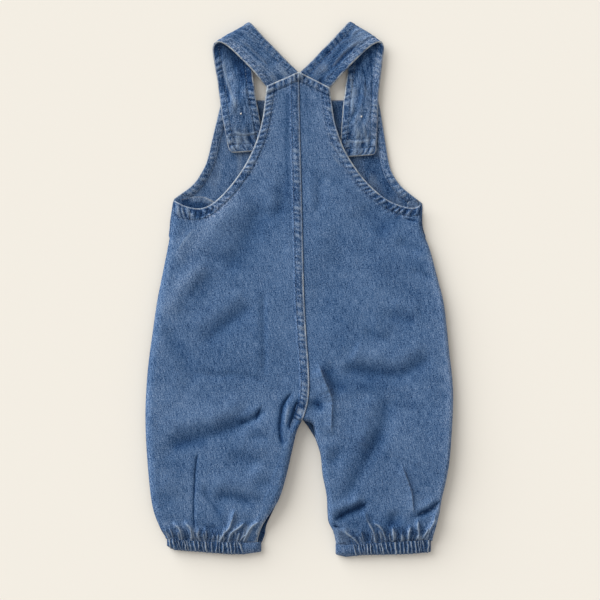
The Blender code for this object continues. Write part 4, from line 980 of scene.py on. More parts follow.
def thread(name, tone):
    material, tree, shader = nodes_of(name)
    new, link = tree.nodes.new, tree.links.new
    place = new("ShaderNodeTexCoord")
    fuzz = new("ShaderNodeTexNoise")
    fuzz.inputs["Scale"].default_value = 2600.0
    fuzz.inputs["Detail"].default_value = 2.0
    link(place.outputs["Object"], fuzz.inputs["Vector"])
    ramp = new("ShaderNodeValToRGB")
    ramp.color_ramp.elements[0].position = 0.3
    ramp.color_ramp.elements[0].color = tuple(c * 0.66 for c in tone) + (1,)
    ramp.color_ramp.elements[1].position = 0.7
    ramp.color_ramp.elements[1].color = tuple(min(c * 1.25, 1) for c in tone) + (1,)
    link(fuzz.outputs["Fac"], ramp.inputs["Fac"])
    link(ramp.outputs["Color"], shader.inputs["Base Color"])
    bump = new("ShaderNodeBump")
    bump.inputs["Strength"].default_value = 0.3
    bump.inputs["Distance"].default_value = 0.0002
    link(fuzz.outputs["Fac"], bump.inputs["Height"])
    link(bump.outputs["Normal"], shader.inputs["Normal"])
    shader.inputs["Roughness"].default_value = 0.7
    shader.inputs["Specular IOR Level"].default_value = 0.25
    return material


TONE = (0.0708, 0.1388, 0.272)
OUTER = denim("denim_outer", TONE)
INNER = denim("denim_inner", (0.060, 0.123, 0.246))
STRAP = denim("denim_strap", (0.068, 0.1355, 0.266))
CASE = denim("denim_casing", (0.065, 0.131, 0.260), pale=(0.34, 0.41, 0.49))

# ---- backs ------------------------------------------------------------------------------------------------------------
FINE_STEP = 1.25


def near_features(points):
    """Where the backs are close-meshed: along the stitched bands, the seam and the gathers."""
    x, y = points[:, 0], points[:, 1]
    take = np.zeros(len(points), bool)
    for edge, reach in ((ARM_LEFT, 10.5), (ARM_RIGHT, 10.5), (TOP_LEFT, 10), (TOP_RIGHT, 10), (SEAM, 11.5)):
        take |= edge.near(points)[0] < reach
    take |= y < -203
    for fold in FOLDS_LEFT + FOLDS_RIGHT:
        if fold.kind in ("crack", "crest"):
            line = curve(line_of(*fold.places), 2.0)
            low, high = line.min(0) - 4.5, line.max(0) + 4.5
            some = np.nonzero(np.all((points > low) & (points < high), axis=1) & ~take)[0]
            if len(some):
                take[some] = Edge(line).near(points[some])[0] < 3.6
    return take


def seam_band(form, left_panel):
    """The felled seam: on the left the folded edge's band with its puckers, on the right what runs in under it, with a
    painted shadow along the lap's edge.
    """
    d, s, left = SEAM.near(form.p)
    # the line runs downwards, so its left is the garment's right as it lies
    u = np.where(s < SEAM.at[-1] + 0.3, -left, 60.0)  # how far into the left panel
    x, y = form.p[:, 0], form.p[:, 1]
    swell = pucker(s, u, 5.6, 4, 0.3)
    if left_panel:
        over = 1 - ease((u - LAP_WIDTH) / 1.4)
        form.z += LAP_RISE * over
        w = LAP_WIDTH
        across = np.sin(math.pi * np.clip((u - 0.6) / (w - 0.6), 0, 1)) ** 0.7 * (u < w)
        row = 1.25 * np.exp(-(((u - w + 0.7) / 0.55) ** 2)) + 1.0 * np.exp(-(((u - 2.0) / 0.45) ** 2))
        beyond = np.exp(-np.maximum(u - w, 0) / 2.2) * (u > w)
        form.z += 0.46 * swell * across - 0.34 * row + 0.22 * (swell - 0.5) * beyond
        # swells paler and hollows darker: wear and painted highlight, kept dye and painted shade; the stitch rows
        # darker lines
        form.wear += 0.62 * np.clip((swell - 0.45) / 0.5, 0, 1) * across + 0.30 * np.exp(-((u / 0.7) ** 2))
        form.shade += 1.25 * np.clip(0.5 - swell, 0, 1) * across + 0.72 * row * (u < w + 2)
        broken = 0.62 + 0.5 * noise(s, 0 * s, 5.0, 6)
        form.cream = np.maximum(form.cream, 0.95 * np.exp(-(((u - 0.62) / 0.52) ** 2)) * (broken + 0.1) * (0.34 + 0.38 * ease((60 - y) / 60)))
        form.rub = np.maximum(form.rub, 0.8 * (1 - ease((u - w - 0.3) / 1.6)))
    else:
        under = ease((u + 1.2) / 1.6)
        form.z -= 0.30 * under
        # painted shadow of the lap's edge on the right panel
        form.shade += 0.40 * np.exp(-((np.minimum(u + 0.5, 0) / 0.55) ** 2)) * (u < 40)
    return form


def back_top(left_panel):
    def made(points):
        form = seam_band(Form(points), left_panel)
        return form.z, {"wear": form.wear, "shade": form.shade, "cream": form.cream, "rub": form.rub}

    return made


def back_bottom(left_panel):
    def made(points):
        form = Form(points, fine=False)
        _, _, left = SEAM.near(points)
        if left_panel:
            form.z += LAP_RISE * (1 - ease((-left - LAP_WIDTH) / 1.4))
        else:
            form.z -= 0.30 * ease((-left + 1.2) / 1.6)
        plain = np.zeros(len(points))
        return form.z - DENIM, {"wear": plain, "shade": plain + 0.05, "cream": plain, "rub": plain}

    return made


def hem_line(side):
    rows = CASING_LEFT if side < 0 else CASING_RIGHT
    line = curve([(r[0], r[1] + 0.12) for r in rows], 0.9)
    return line


def clip_x(line, low, high):
    return line[(line[:, 0] > low) & (line[:, 0] < high)]


def crisp_points(folds, gathers, side):
    return along_folds([f for f in folds if f.kind in ("crack", "crest")] + [as_fold(g) for g in gathers + small_gathers(side)])


TOP_EDGE_LEFT = curve([(-0.7, 195.0), (-10.3, 190.9), (-20.0, 186.8), (-27.6, 183.5)], 0.9)
TOP_EDGE_RIGHT = curve([(0.0, 195.0), (9.0, 190.4), (18.0, 185.8), (25.2, 182.1)], 0.9)
arm_left = curve(ARMHOLE_LEFT, 0.9)
arm_right = curve(ARMHOLE_RIGHT, 0.9)
outline = join(
    arm_left,
    curve(SIDE_LEFT, 0.9)[1:],
    clip_x(hem_line(-1), -119.2, -38.4),
    curve(INNER_LEFT, 0.9)[1:],
    curve(CENTRE_BACK, 0.9)[::-1][1:],
    TOP_EDGE_LEFT[1:],
    gap=0.3,
)
back_left = shell("back_left_cloth", outline, back_top(True), back_bottom(True), DENIM, OUTER, FINE_STEP, 2.6, near_features, shift=3.0, extra=crisp_points(FOLDS_LEFT, GATHERS_LEFT, -1))
back_left_area = abs(area_of(outline))

tucked = aside(curve(CENTRE_BACK, 0.9), -LAP_WIDTH + 0.9)
tucked = tucked[(tucked[:, 1] < 188.5) & (tucked[:, 1] > -111)]
outline = join(
    [np.array([-7.2, 188.6]), np.array([-3.6, 191.4]), np.array([-0.7, 193.6]), np.array([0.2, 194.9])],
    TOP_EDGE_RIGHT[1:],
    arm_right,
    curve(SIDE_RIGHT, 0.9)[1:],
    clip_x(hem_line(1), 33.6, 118.0)[::-1],
    curve(INNER_RIGHT, 0.9)[::-1][1:],
    [np.array([3.4, -117.4]), np.array([1.2, -115.4]), np.array([-1.2, -113.0])],
    tucked[::-1],
    gap=0.3,
)
back_right = shell("back_right_cloth", outline, back_top(False), back_bottom(False), DENIM, OUTER, FINE_STEP, 2.6, near_features, shift=11.0, extra=crisp_points(FOLDS_RIGHT, GATHERS_RIGHT, 1))
back_right_area = abs(area_of(outline))

# ---- fronts -------------------------------------------------------------------------------------------------------------
FRONT_EDGES = Edge(np.vstack([curve(SIDE_LEFT, 1.5), curve(FRONT_INNER_LEFT, 1.5), curve(FRONT_INNER_RIGHT, 1.5), curve(SIDE_RIGHT, 1.5)[::-1]]))
FRONT_FOLDS = [  # on the hidden side, seen from below: hollows in the underside
    Fold("ridge", [(180, 300), (205, 315), (236, 322)], 0.8, 4.0, 4.0),
    Fold("ridge", [(262, 300), (259, 340), (262, 372)], 0.6, 3.0, 3.0),
    Fold("ridge", [(168, 404), (205, 418), (250, 412)], 1.1, 4.5, 5.0),
    Fold("ridge", [(282, 398), (276, 425), (270, 448)], 0.9, 2.6, 2.6),
    Fold("ridge", [(205, 470), (199, 500), (202, 524)], 0.9, 2.6, 2.6),
    Fold("ridge", [(232, 462), (246, 488), (240, 512)], 0.8, 3.0, 3.0),
    Fold("ridge", [(318, 380), (327, 410), (330, 440)], 1.0, 3.0, 3.0),
    Fold("ridge", [(346, 402), (380, 396), (424, 404)], 1.1, 5.0, 5.0),
    Fold("ridge", [(372, 440), (360, 478), (350, 505)], 0.9, 3.2, 3.2),
    Fold("ridge", [(410, 470), (404, 500), (398, 524)], 0.8, 3.0, 3.0),
    Fold("ridge", [(392, 300), (372, 322), (344, 330)], 0.7, 4.0, 4.0),
    Fold("ridge", [(240, 230), (222, 256), (196, 272)], 0.5, 4.0, 4.0),
    Fold("ridge", [(352, 236), (376, 258), (398, 270)], 0.5, 4.0, 4.0),
]


def front_low(points):
    d, _, _ = FRONT_EDGES.near(points)
    t = np.clip(d / 4.5, 0, 1)
    y = points[:, 1]
    rise = 1.05 + 0.8 * ease((y + 236) / 16)
    curl = rise * (1 - np.sqrt(1 - (1 - t) ** 2)) * (1 - ease((y - 58) / 16))
    made = curl + lift(points)
    for side in (-1, 1):
        edge_d, edge_s, _ = BIB[side].near(points)
        made += 1.9 * (1 - ease(edge_d / 12)) * (np.sign(points[:, 0]) == side) * ease((y - 74) / 14)
    made += 1.3 * ease((y - 158) / 12) * (1 - ease((lift(points)) / 1.5))
    for fold in FRONT_FOLDS:
        made += fold_height(points, fold) * ease(d / 9)
    x = points[:, 0]
    made += 0.35 * np.clip(noise(x, y, 23, 5), 0, 1) * ease(d / 9) * (1 - ease((y - 70) / 20))
    for side in (-1, 1):
        dc, _, _ = CUFF_LINE[side].near(points)
        near = (dc < 20) & (np.sign(x) == side)
        phase = pucker(x[near], y[near] + 240, 5.2, 6 if side < 0 else 7)
        made[near] += 0.7 * phase * (1 - ease(dc[near] / (9 + 7 * noise(x[near], 0 * x[near], 7, 2))))
    return np.maximum(made, 0.0)


def front_tones(points, outer):
    x, y = points[:, 0], points[:, 1]
    wear, shade, cream = np.zeros(len(points)), np.zeros(len(points)), np.zeros(len(points))
    for side in (-1, 1):
        d, s, _ = BIB[side].near(points)
        near = (d < 12) & (np.sign(x) == side)
        swell = pucker(s[near], d[near], 5.0, 5, 0.4)
        across = np.sin(math.pi * np.clip(d[near] / FACING_WIDTH, 0, 1))
        wear[near] += 0.4 * np.clip(swell - 0.45, 0, 1) * across
        shade[near] += 0.5 * np.clip(0.5 - swell, 0, 1) * across
        cream[near] = np.maximum(cream[near], 0.35 * np.exp(-((d[near] / 0.7) ** 2)))
        dc, _, _ = CUFF_LINE[side].near(points)
        near = (dc < 16) & (np.sign(x) == side)
        phase = pucker(x[near], y[near] + 240, 5.2, 6 if side < 0 else 7)
        if outer:  # a hollow seen from above is a ridge seen from below
            wear[near] += 0.5 * np.clip(0.5 - phase, 0, 1) * (1 - ease(dc[near] / 12))
            shade[near] += 0.5 * np.clip(phase - 0.5, 0, 1) * (1 - ease(dc[near] / 12))
    top = np.exp(-(((170.2 - y) / 0.8) ** 2))
    cream = np.maximum(cream, 0.3 * top)
    if not outer:
        strip = np.abs(FRONT_EDGES.near(points)[0])  # the front's edge beyond the back's, in the shade of the hem
        shade += 0.8 * (1 - ease((strip - 2.5) / 3)) * ease((-196 - y) / 12) * (np.abs(x) < 44)
        streaks = 0.6 * noise(x, y / 3.4, 3.6, 3) + 0.5 * noise(x + 50, y / 2.2, 7.5, 1)
        wear += 0.30 * np.clip(streaks, 0, 1)
        # darker on the right side low on the bib, streaky tone, and painted shade near the top where the straps and the
        # back's edge shade the bib
        shade += 0.46 * ease(x / 6) * ease((132 - y) / 14) - 0.05 + 0.42 * np.clip(-streaks, 0, 1) + 0.45 * ease((y - 118) / 40) * (1 - ease((np.abs(x) - 52) / 10))
    return {"wear": wear, "shade": shade, "cream": cream, "rub": np.clip(wear + shade, 0, 1)}


def front_top(points):
    return front_low(points) + DENIM, front_tones(points, False)


def front_bottom(points):
    return front_low(points), front_tones(points, True)


fronts, facings, underarms = {}, {}, {}
for side, word, bib, edge, inner, tip in (
    (-1, "left", BIB_LEFT, SIDE_LEFT, FRONT_INNER_LEFT, UNDERARM_LEFT),
    (1, "right", BIB_RIGHT, SIDE_RIGHT, FRONT_INNER_RIGHT, UNDERARM_RIGHT),
):
    bib_edge, centre = curve(bib, 0.9), curve(CENTRE_FRONT, 1.2) + (side * 0.2, 0)
    side_edge = curve(edge, 1.2)[2:-2] + (-side * 0.8, 0)
    slim = ease((side_edge[:, 1] - 44) / 4)
    side_edge[:, 0] += side * 2.2 * slim
    inner_edge = curve(inner, 1.2)
    low = hem_line(side)
    low = clip_x(low, -118.6, -34.4) if side < 0 else clip_x(low, 33.6, 118.0)[::-1]
    if side < 0:
        outline = join(bib_edge, side_edge, low, inner_edge[1:], centre[::-1], gap=0.35)
    else:
        outline = join(bib_edge, side_edge, low, inner_edge[::-1][1:], centre[::-1], gap=0.35)
    bx, by = BUTTONS[0 if side < 0 else 1]
    hole = np.array(
        [(bx - 1.5, by + 0.6), (bx - 1.1, by + 1.4), (bx, by + 1.8), (bx + 1.1, by + 1.4), (bx + 1.5, by + 0.6)]
        + [(bx + 1.5, by - k) for k in (1.5, 4, 7, 10, 13)]
        + [(bx + 1.0, by - 15), (bx, by - 15.5), (bx - 1.0, by - 15)]
        + [(bx - 1.5, by - k) for k in (13, 10, 7, 4, 1.5)]
    )

    def fine_front(points, side=side):
        return (points[:, 1] > 60) & (np.hypot(points[:, 0] - bx, points[:, 1] - by) < 24) | (BIB[side].near(points)[0] < 9)

    step = 1.7
    fronts[word] = (
        shell(f"front_{word}_cloth", outline, front_top, front_bottom, DENIM, OUTER, step, step, fine_front, holes=[hole], shift=20.0 + side),
        abs(area_of(outline)),
    )

    # the facing that shows on the inside of the bib, and its end at the underarm
    crescent = curve([*tip, tip[0]], 0.8)[:-1]
    line = aside(bib_edge, FACING_WIDTH if side < 0 else -FACING_WIDTH)
    stop = int(np.argmin(np.abs(line[:, 0] - side * 103.0)))
    line = line[: stop + 1]
    keep_line = line[line[:, 1] < 170.0]
    last = int(np.argmin(np.linalg.norm(bib_edge - line[-1], axis=1)))
    band = join(bib_edge[: last + 1] - (side * 0.25, 0), keep_line[::-1], gap=0.3)
    band = band[~inside(band, crescent)]
    part = f"facing_{word}"

    def facing_top(points, side=side):
        d, s, _ = BIB[side].near(points)
        swell = pucker(s, d, 5.0, 5, 0.4)
        across = np.sin(math.pi * np.clip(d / FACING_WIDTH, 0, 1)) ** 0.7
        row = np.exp(-(((d - FACING_WIDTH + 1.0) / 0.6) ** 2)) + 0.6 * np.exp(-(((d - 1.4) / 0.5) ** 2))
        z = front_low(points) + DENIM + 0.72 + 0.60 * swell * across - 0.25 * row
        wear = 0.55 * np.clip((swell - 0.45) / 0.5, 0, 1) * across + 0.2 * np.exp(-(((d - FACING_WIDTH) / 0.5) ** 2))
        shade = 0.70 * np.clip((0.5 - swell) / 0.5, 0, 1) * across + 0.45 * row - 0.34 * (0.5 + 0.5 * ease((98 - points[:, 1]) / -10))
        return z, {"wear": wear, "shade": shade, "cream": 0.4 * np.exp(-((d / 0.45) ** 2)), "rub": 0 * d + 0.8}

    def facing_bottom(points):
        plain = np.zeros(len(points))
        return front_low(points) + DENIM + 0.06, {"wear": plain, "shade": plain, "cream": plain, "rub": plain}

    facings[word] = (shell(f"facing_{word}_cloth", band, facing_top, facing_bottom, None, INNER, 0.8, 1.8, shift=30.0 + side), abs(area_of(band)))

    upper = Edge(curve(tip[:5] if side < 0 else tip[:3], 0.8))

    def underarm_top(points, side=side, upper=upper):
        d, s, _ = upper.near(points)
        swell = pucker(s, d, 4.4, 6, 0.2)
        z = front_low(points) + DENIM + 0.66 + 0.28 * swell * ease(d / 2)
        if side > 0:
            wear = 0.16 + 0.25 * np.clip(swell - 0.5, 0, 1)
            shade = 0.35 * np.clip(0.5 - swell, 0, 1)
            cream = 0.25 * np.exp(-((d / 0.5) ** 2))
        else:
            # on the left, the crescent outside the lit band along its upper edge is painted shade, and the lit band is
            # paler: wear and painted highlight
            lit = ease((points[:, 0] + 101) / 5) * (1 - ease((d - 3.0) / 3.5))
            wear = (0.16 + 0.4 * np.clip(swell - 0.5, 0, 1)) * lit
            shade = 0.35 * np.clip(0.5 - swell, 0, 1) + 0.75 * (1 - lit)
            cream = 0.5 * np.exp(-(((d - 0.5) / 0.5) ** 2)) * (0.35 + 0.65 * ease((points[:, 0] + 90) / 12))
        return z, {"wear": wear + 0 * d, "shade": shade, "cream": cream, "rub": 0 * d + 0.7}

    underarms[word] = (shell(f"underarm_{word}_cloth", crescent, underarm_top, facing_bottom, None, INNER, 0.7, 1.6, shift=35.0 + side), abs(area_of(crescent)))

# ---- straps ---------------------------------------------------------------------------------------------------------------
# each row: outer edge px, py, height; inner edge px, py, height (heights are of the strap's middle layer)
STRAP_LEFT = [
    (268.6, 93.6, 4.55, 298.5, 80.5, 4.6),
    (266.1, 86.2, 5.4, 298.5, 72.2, 4.8),
    (259.6, 78.4, 7.6, 290.4, 63.6, 5.2),
    (253.5, 71.1, 8.9, 282.4, 55.3, 5.5),
    (247.0, 64.2, 9.2, 274.6, 47.2, 5.8),
    (240.4, 57.6, 9.2, 266.8, 39.4, 6.0),
    (233.4, 50.8, 9.0, 260.4, 32.4, 6.1),
    (227.6, 45.8, 8.3, 255.6, 27.0, 6.1),
    (222.4, 42.6, 8.5, 252.4, 23.6, 5.8),
    (217.8, 41.4, 8.0, 250.6, 22.1, 5.0),
    (214.4, 42.7, 6.8, 249.8, 22.0, 3.9),
    (212.7, 45.6, 5.0, 249.6, 23.4, 2.7),
    (212.4, 49.6, 3.6, 249.8, 27.0, 1.9),
    (212.9, 54.6, 2.9, 250.2, 33.0, 1.5),
    (213.8, 60.6, 2.6, 250.9, 42.0, 1.6),
    (215.4, 70.0, 2.6, 251.8, 58.0, 2.2),
    (217.0, 79.0, 1.9, 252.8, 74.0, 6.0),
    (218.2, 88.0, 2.4, 254.2, 85.0, 8.4),
    (219.2, 96.0, 3.9, 255.4, 94.0, 8.0),
    (220.2, 103.3, 5.2, 256.8, 101.8, 5.4),
    (221.7, 114.5, 4.6, 259.0, 113.6, 3.5),
    (223.6, 125.0, 4.3, 261.2, 124.0, 3.3),
    (225.4, 134.5, 4.0, 263.2, 133.0, 3.3),
    (227.2, 144.4, 3.7, 265.6, 142.2, 3.3),
    (229.6, 153.0, 3.5, 267.6, 149.8, 3.3),
]
STRAP_RIGHT = [
    (327.9, 95.1, 4.55, 300.0, 80.5, 4.6),
    (330.1, 87.8, 5.6, 300.0, 72.2, 4.8),
    (336.4, 80.2, 8.0, 308.6, 63.4, 3.8),
    (342.1, 73.6, 9.2, 316.1, 55.6, 2.9),
    (349.4, 66.0, 9.4, 324.4, 47.0, 2.8),
    (356.2, 59.2, 7.8, 332.4, 38.7, 3.6),
    (363.6, 52.0, 8.0, 339.4, 31.4, 4.8),
    (370.2, 46.2, 8.5, 344.6, 25.6, 6.1),
    (375.4, 42.8, 8.7, 347.4, 22.4, 5.8),
    (379.8, 41.6, 8.1, 349.0, 21.2, 5.0),
    (383.0, 42.8, 6.8, 349.8, 21.2, 3.9),
    (384.2, 45.4, 6.4, 350.2, 22.8, 2.7),
    (384.2, 49.4, 6.0, 350.0, 27.0, 1.9),
    (383.6, 54.6, 5.7, 349.6, 33.0, 1.5),
    (382.8, 61.0, 5.5, 349.2, 42.0, 1.6),
    (381.8, 70.0, 5.5, 348.6, 58.0, 2.0),
    (380.6, 79.0, 5.6, 347.0, 74.0, 3.4),
    (379.6, 88.0, 5.7, 345.6, 86.0, 5.0),
    (378.9, 96.6, 5.6, 344.2, 96.6, 5.2),
    (378.5, 104.0, 5.2, 343.2, 104.2, 4.6),
    (378.0, 116.2, 4.6, 342.4, 116.7, 3.5),
    (377.7, 126.0, 4.3, 341.4, 127.0, 3.3),
    (377.4, 136.0, 4.0, 340.7, 137.4, 3.3),
    (377.0, 145.2, 3.7, 340.0, 147.0, 3.3),
    (376.4, 154.6, 3.5, 339.6, 157.2, 3.3),
]


# wrinkles down the straps, on the face that shows
PLEATS_LEFT = [
    Fold("streak", [(222.5, 60), (226, 77), (231, 92), (237, 110)], 0.45, 0.9, 1.2),
    Fold("crack", [(219.8, 66), (223, 80), (227.5, 95), (232, 108)], -0.25, 1.6, 1.0),
    Fold("groove", [(241, 70), (246, 90), (250, 114)], -0.7, 3.2, 3.2),
    Fold("streak", [(231, 128), (239, 133.5), (249, 134), (261, 130)], 0.55, 1.0, 1.3),
    Fold("streak", [(236.5, 136), (238.5, 150)], 0.35, 0.8, 1.0),
    Fold("groove", [(229, 138), (245, 139.5), (262, 138)], -0.5, 1.8, 1.8),
    Fold("streak", [(237, 37), (252, 50.5), (270, 68)], 0.35, 1.2, 1.4),
    Fold("groove", [(246, 33), (262, 48), (281, 65)], -0.5, 2.0, 2.0),
]
PLEATS_RIGHT = [
    Fold("crack", [(361.5, 64), (364.8, 76), (366.2, 88), (364.6, 101), (361.5, 112)], -0.4, 2.4, 1.2),
    Fold("ridge", [(357, 64), (360.5, 84), (360.5, 100), (358, 113)], 0.7, 2.6, 2.2),
    Fold("streak", [(361.5, 120), (364.5, 131), (369, 146)], 0.4, 0.8, 1.1),
    Fold("crack", [(371, 60), (371.8, 90), (370.8, 120)], -0.3, 1.2, 1.0),
    Fold("streak", [(350, 72), (352.5, 92), (352, 116)], 0.35, 1.0, 1.3),
    Fold("groove", [(346, 120), (350, 140), (349, 152)], -0.5, 2.2, 2.2),
    Fold("streak", [(346, 140), (358, 142), (373, 139)], 0.45, 1.0, 1.2),
    Fold("streak", [(357, 41), (343, 54), (331, 69)], 0.4, 1.2, 1.4),
    Fold("crack", [(361, 41), (347, 54.5), (334, 70)], -0.3, 1.2, 1.0),
    Fold("groove", [(346, 33), (334, 45), (320, 62)], -0.5, 2.2, 2.2),
]


def strap(name, rows, side):
    """A strap as a thick ribbon: its middle layer runs through its sections, and both faces stand off it."""
    table = np.array([(*at(a, b), c, *at(d, e), f) for a, b, c, d, e, f in rows])
    # even steps along the ribbon's middle
    p = table
    ends = np.vstack([2 * p[0] - p[1], p, 2 * p[-1] - p[-2]])
    dense = []
    for i in range(1, len(ends) - 2):
        a, b, c, d = ends[i - 1 : i + 3]
        for t in np.arange(24) / 24:
            dense.append(0.5 * (2 * b + (c - a) * t + (2 * a - 5 * b + 4 * c - d) * t**2 + (3 * b - a - 3 * c + d) * t**3))
    dense = np.array(dense + [p[-1]])
    middle = (dense[:, :3] + dense[:, 3:]) / 2
    length = np.concatenate([[0], np.cumsum(np.linalg.norm(np.diff(middle, axis=0), axis=1))])
    step = 0.62
    n = int(length[-1] / step)
    s_at = np.linspace(0, length[-1], n + 1)
    even = np.array([np.interp(s_at, length, dense[:, k]) for k in range(6)]).T
    cols = 58
    share = np.linspace(0, 1, cols + 1)
    # rounded corners at the front end
    wide = np.linalg.norm(even[:, :3] - even[:, 3:], axis=1)
    close = np.clip(4.2 - (s_at[-1] - s_at), 0, 4.2)
    inset = (4.2 - np.sqrt(4.2**2 - close**2)) / wide
    shares = inset[:, None] + share[None, :] * (1 - 2 * inset)[:, None]
    grid = even[:, None, :3] * (1 - shares)[:, :, None] + even[:, None, 3:] * shares[:, :, None]
    # the fold's line bows outwards a little between its ends, and the front end's edge waves
    bow = np.exp(-(((s_at - length[24 * 10]) / 9.0) ** 2))[:, None] * np.sin(math.pi * share)[None, :]
    grid[:, :, 1] += 0.5 * bow
    wave = ease(1 - (s_at[-1] - s_at) / 6.0)[:, None] * (0.7 * noise(shares * wide[:, None], 0 * shares, 7.5, 2))
    grid[:, :, 1] += wave
    grid[:, :, :2] = CAMERA_OVER + (grid[:, :, :2] - CAMERA_OVER) * (1 - grid[:, :, 2:] / 1500.0)
    flat = grid[:, :, :2].reshape(-1, 2)
    on_bib = ease((180.0 - flat[:, 1]) / 10.0).reshape(n + 1, cols + 1)
    front = (np.arange(n + 1) > n * 0.5)[:, None]
    grid[:, :, 2] += lift(flat).reshape(n + 1, cols + 1) * on_bib * front
    # rounded corners at the front end
    width = wide * (1 - 2 * inset)
    t_mm = share[None, :] * width[:, None]
    s_mm = np.repeat(s_at[:, None], cols + 1, 1)
    to_end = s_at[-1] - s_mm
    # normals of the middle layer
    ds = np.gradient(grid, axis=0)
    dt = np.gradient(grid, axis=1)
    normal = np.cross(ds, dt)
    normal /= np.maximum(np.linalg.norm(normal, axis=2), 1e-9)[:, :, None]
    if normal[2, cols // 2, 2] < 0:
        normal = -normal
    # relief of each face
    def relief(seed):
        edge_in = np.minimum(t_mm, width[:, None] - t_mm)
        outer_side = t_mm < width[:, None] / 2
        w = 6.4
        h = np.zeros_like(t_mm)
        wear, shade = np.zeros_like(h), np.zeros_like(h)
        soft = 1.0 - (0.42 if side < 0 else 0.5) * (s_mm < length[24 * 9])  # the back run's puckers are weaker
        for mask, sd in ((outer_side, seed), (~outer_side, seed + 2)):
            swell = pucker(s_mm, edge_in, 5.8, sd, 0.30, 0.10)
            across = np.sin(math.pi * np.clip(edge_in / w, 0, 1)) ** 0.7 * (edge_in < w)
            row = np.exp(-(((edge_in - w) / 0.62) ** 2))
            beyond = np.exp(-np.maximum(edge_in - w, 0) / 2.2) * (edge_in >= w)
            # swells paler and hollows darker: wear and painted highlight, kept dye and painted shade; the stitch rows
            # darker lines
            light, dark = np.clip((swell - 0.45) / 0.5, 0, 1), np.clip((0.52 - swell) / 0.5, 0, 1)
            h += mask * (0.78 * soft * swell * across - 0.42 * soft * row + 0.28 * (swell - 0.5) * beyond)
            wear += mask * soft * (0.50 * light * across + 0.20 * light * beyond)
            shade += mask * soft * (0.78 * dark * across + 0.80 * row * (0.5 + dark) + 0.40 * beyond * dark)
        # long wrinkles between the two rows, paler on their tops and darker in their troughs: wear and painted
        # highlight, painted shade
        inside_rows = ease((edge_in - w - 0.4) / 2.0)
        sway = 1.6 * noise(0 * t_mm, s_mm, 13.0, seed + 2)
        long_ = noise(t_mm + sway, s_mm / 4.5, 4.6, seed + 1) + 0.45 * noise(t_mm + sway, s_mm / 4.0, 2.3, seed + 3)
        long_ += 0.45 * noise(t_mm, s_mm, 6.0, seed + 5)
        h += 0.65 * long_ * inside_rows
        wear += 0.34 * np.clip(long_ - 0.10, 0, 1) * inside_rows
        shade += 0.70 * np.clip(-long_ - 0.05, 0, 1) * inside_rows
        back_run = 1 - ease((s_mm - length[24 * 6]) / 14.0)
        inner_part = ease((t_mm / width[:, None] - (0.72 if side < 0 else 0.40)) / 0.25)
        shade += back_run * ((0.0 if side < 0 else 0.36) + (0.34 if side < 0 else 0.22) * inner_part)
        # painted light along the outer rim of the back run towards the fold
        arch_rim = (1 - ease((t_mm - 5) / 6)) * ease((s_mm - length[24 * 3]) / 12) * (1 - ease((s_mm - length[24 * 10]) / 5))
        shade -= 0.34 * arch_rim
        # the right strap's front run paler along its outer edge; the left one darker along its outer edge below the
        # fold
        if side > 0:
            shade -= 0.40 * (1 - ease((t_mm - 6) / 6)) * (s_mm > length[24 * 13])
        else:
            shade += 0.30 * (1 - ease((t_mm - 5) / 6)) * (s_mm > length[24 * 11]) * (1 - ease((s_mm - length[24 * 17]) / 10))
        # the hem across the front end: two rows with swells between them
        for k, (start, stop_) in enumerate(((0.6, 7.6), (7.6, 15.6), (15.6, 22.5))):
            mid = (to_end > start) & (to_end < stop_)
            part_ = np.sin(math.pi * np.clip((to_end - start) / (stop_ - start), 0, 1)) ** 0.8 * mid
            swell = pucker(t_mm, to_end, 5.6, seed + k, 0.2, 0.10)
            size = (0.85, 0.9, 0.5)[k]
            h += size * (swell - 0.25) * part_
            wear += (0.55, 0.65, 0.35)[k] * np.clip((swell - 0.45) / 0.5, 0, 1) * part_
            shade += (0.9, 0.95, 0.5)[k] * np.clip((0.5 - swell) / 0.5, 0, 1) * part_
        for start in (7.6, 15.6):
            row = np.exp(-(((to_end - start) / 0.62) ** 2))
            h -= 0.4 * row
            shade += 0.55 * row
        broken = np.clip(0.7 + 0.5 * noise(s_mm, 0 * s_mm, 4.7, seed + 4) + 0.5 * noise(s_mm, 0 * s_mm, 1.5, seed + 6), 0.1, 1)
        arch_side = (t_mm < width[:, None] / 2) & (s_mm < length[24 * 11])
        arch_side = arch_side | ((t_mm > width[:, None] / 2) & (s_mm > length[24 * 15]))
        cream = (1.0 * arch_side + 0.52 * (1 - arch_side)) * np.exp(-(((edge_in - 0.5) / 0.5) ** 4)) * broken
        cream = np.maximum(cream, 0.85 * np.exp(-(((to_end - 0.5) / 0.55) ** 4)) * broken)
        rub = 0.55 + 0.45 * (edge_in < w + 1)
        return h, wear, shade, cream, rub, edge_in

    up, wear_u, shade_u, cream_u, rub_u, edge_in = relief(0 if side < 0 else 3)
    down, wear_d, shade_d, cream_d, rub_d, _ = relief(2 if side < 0 else 5)
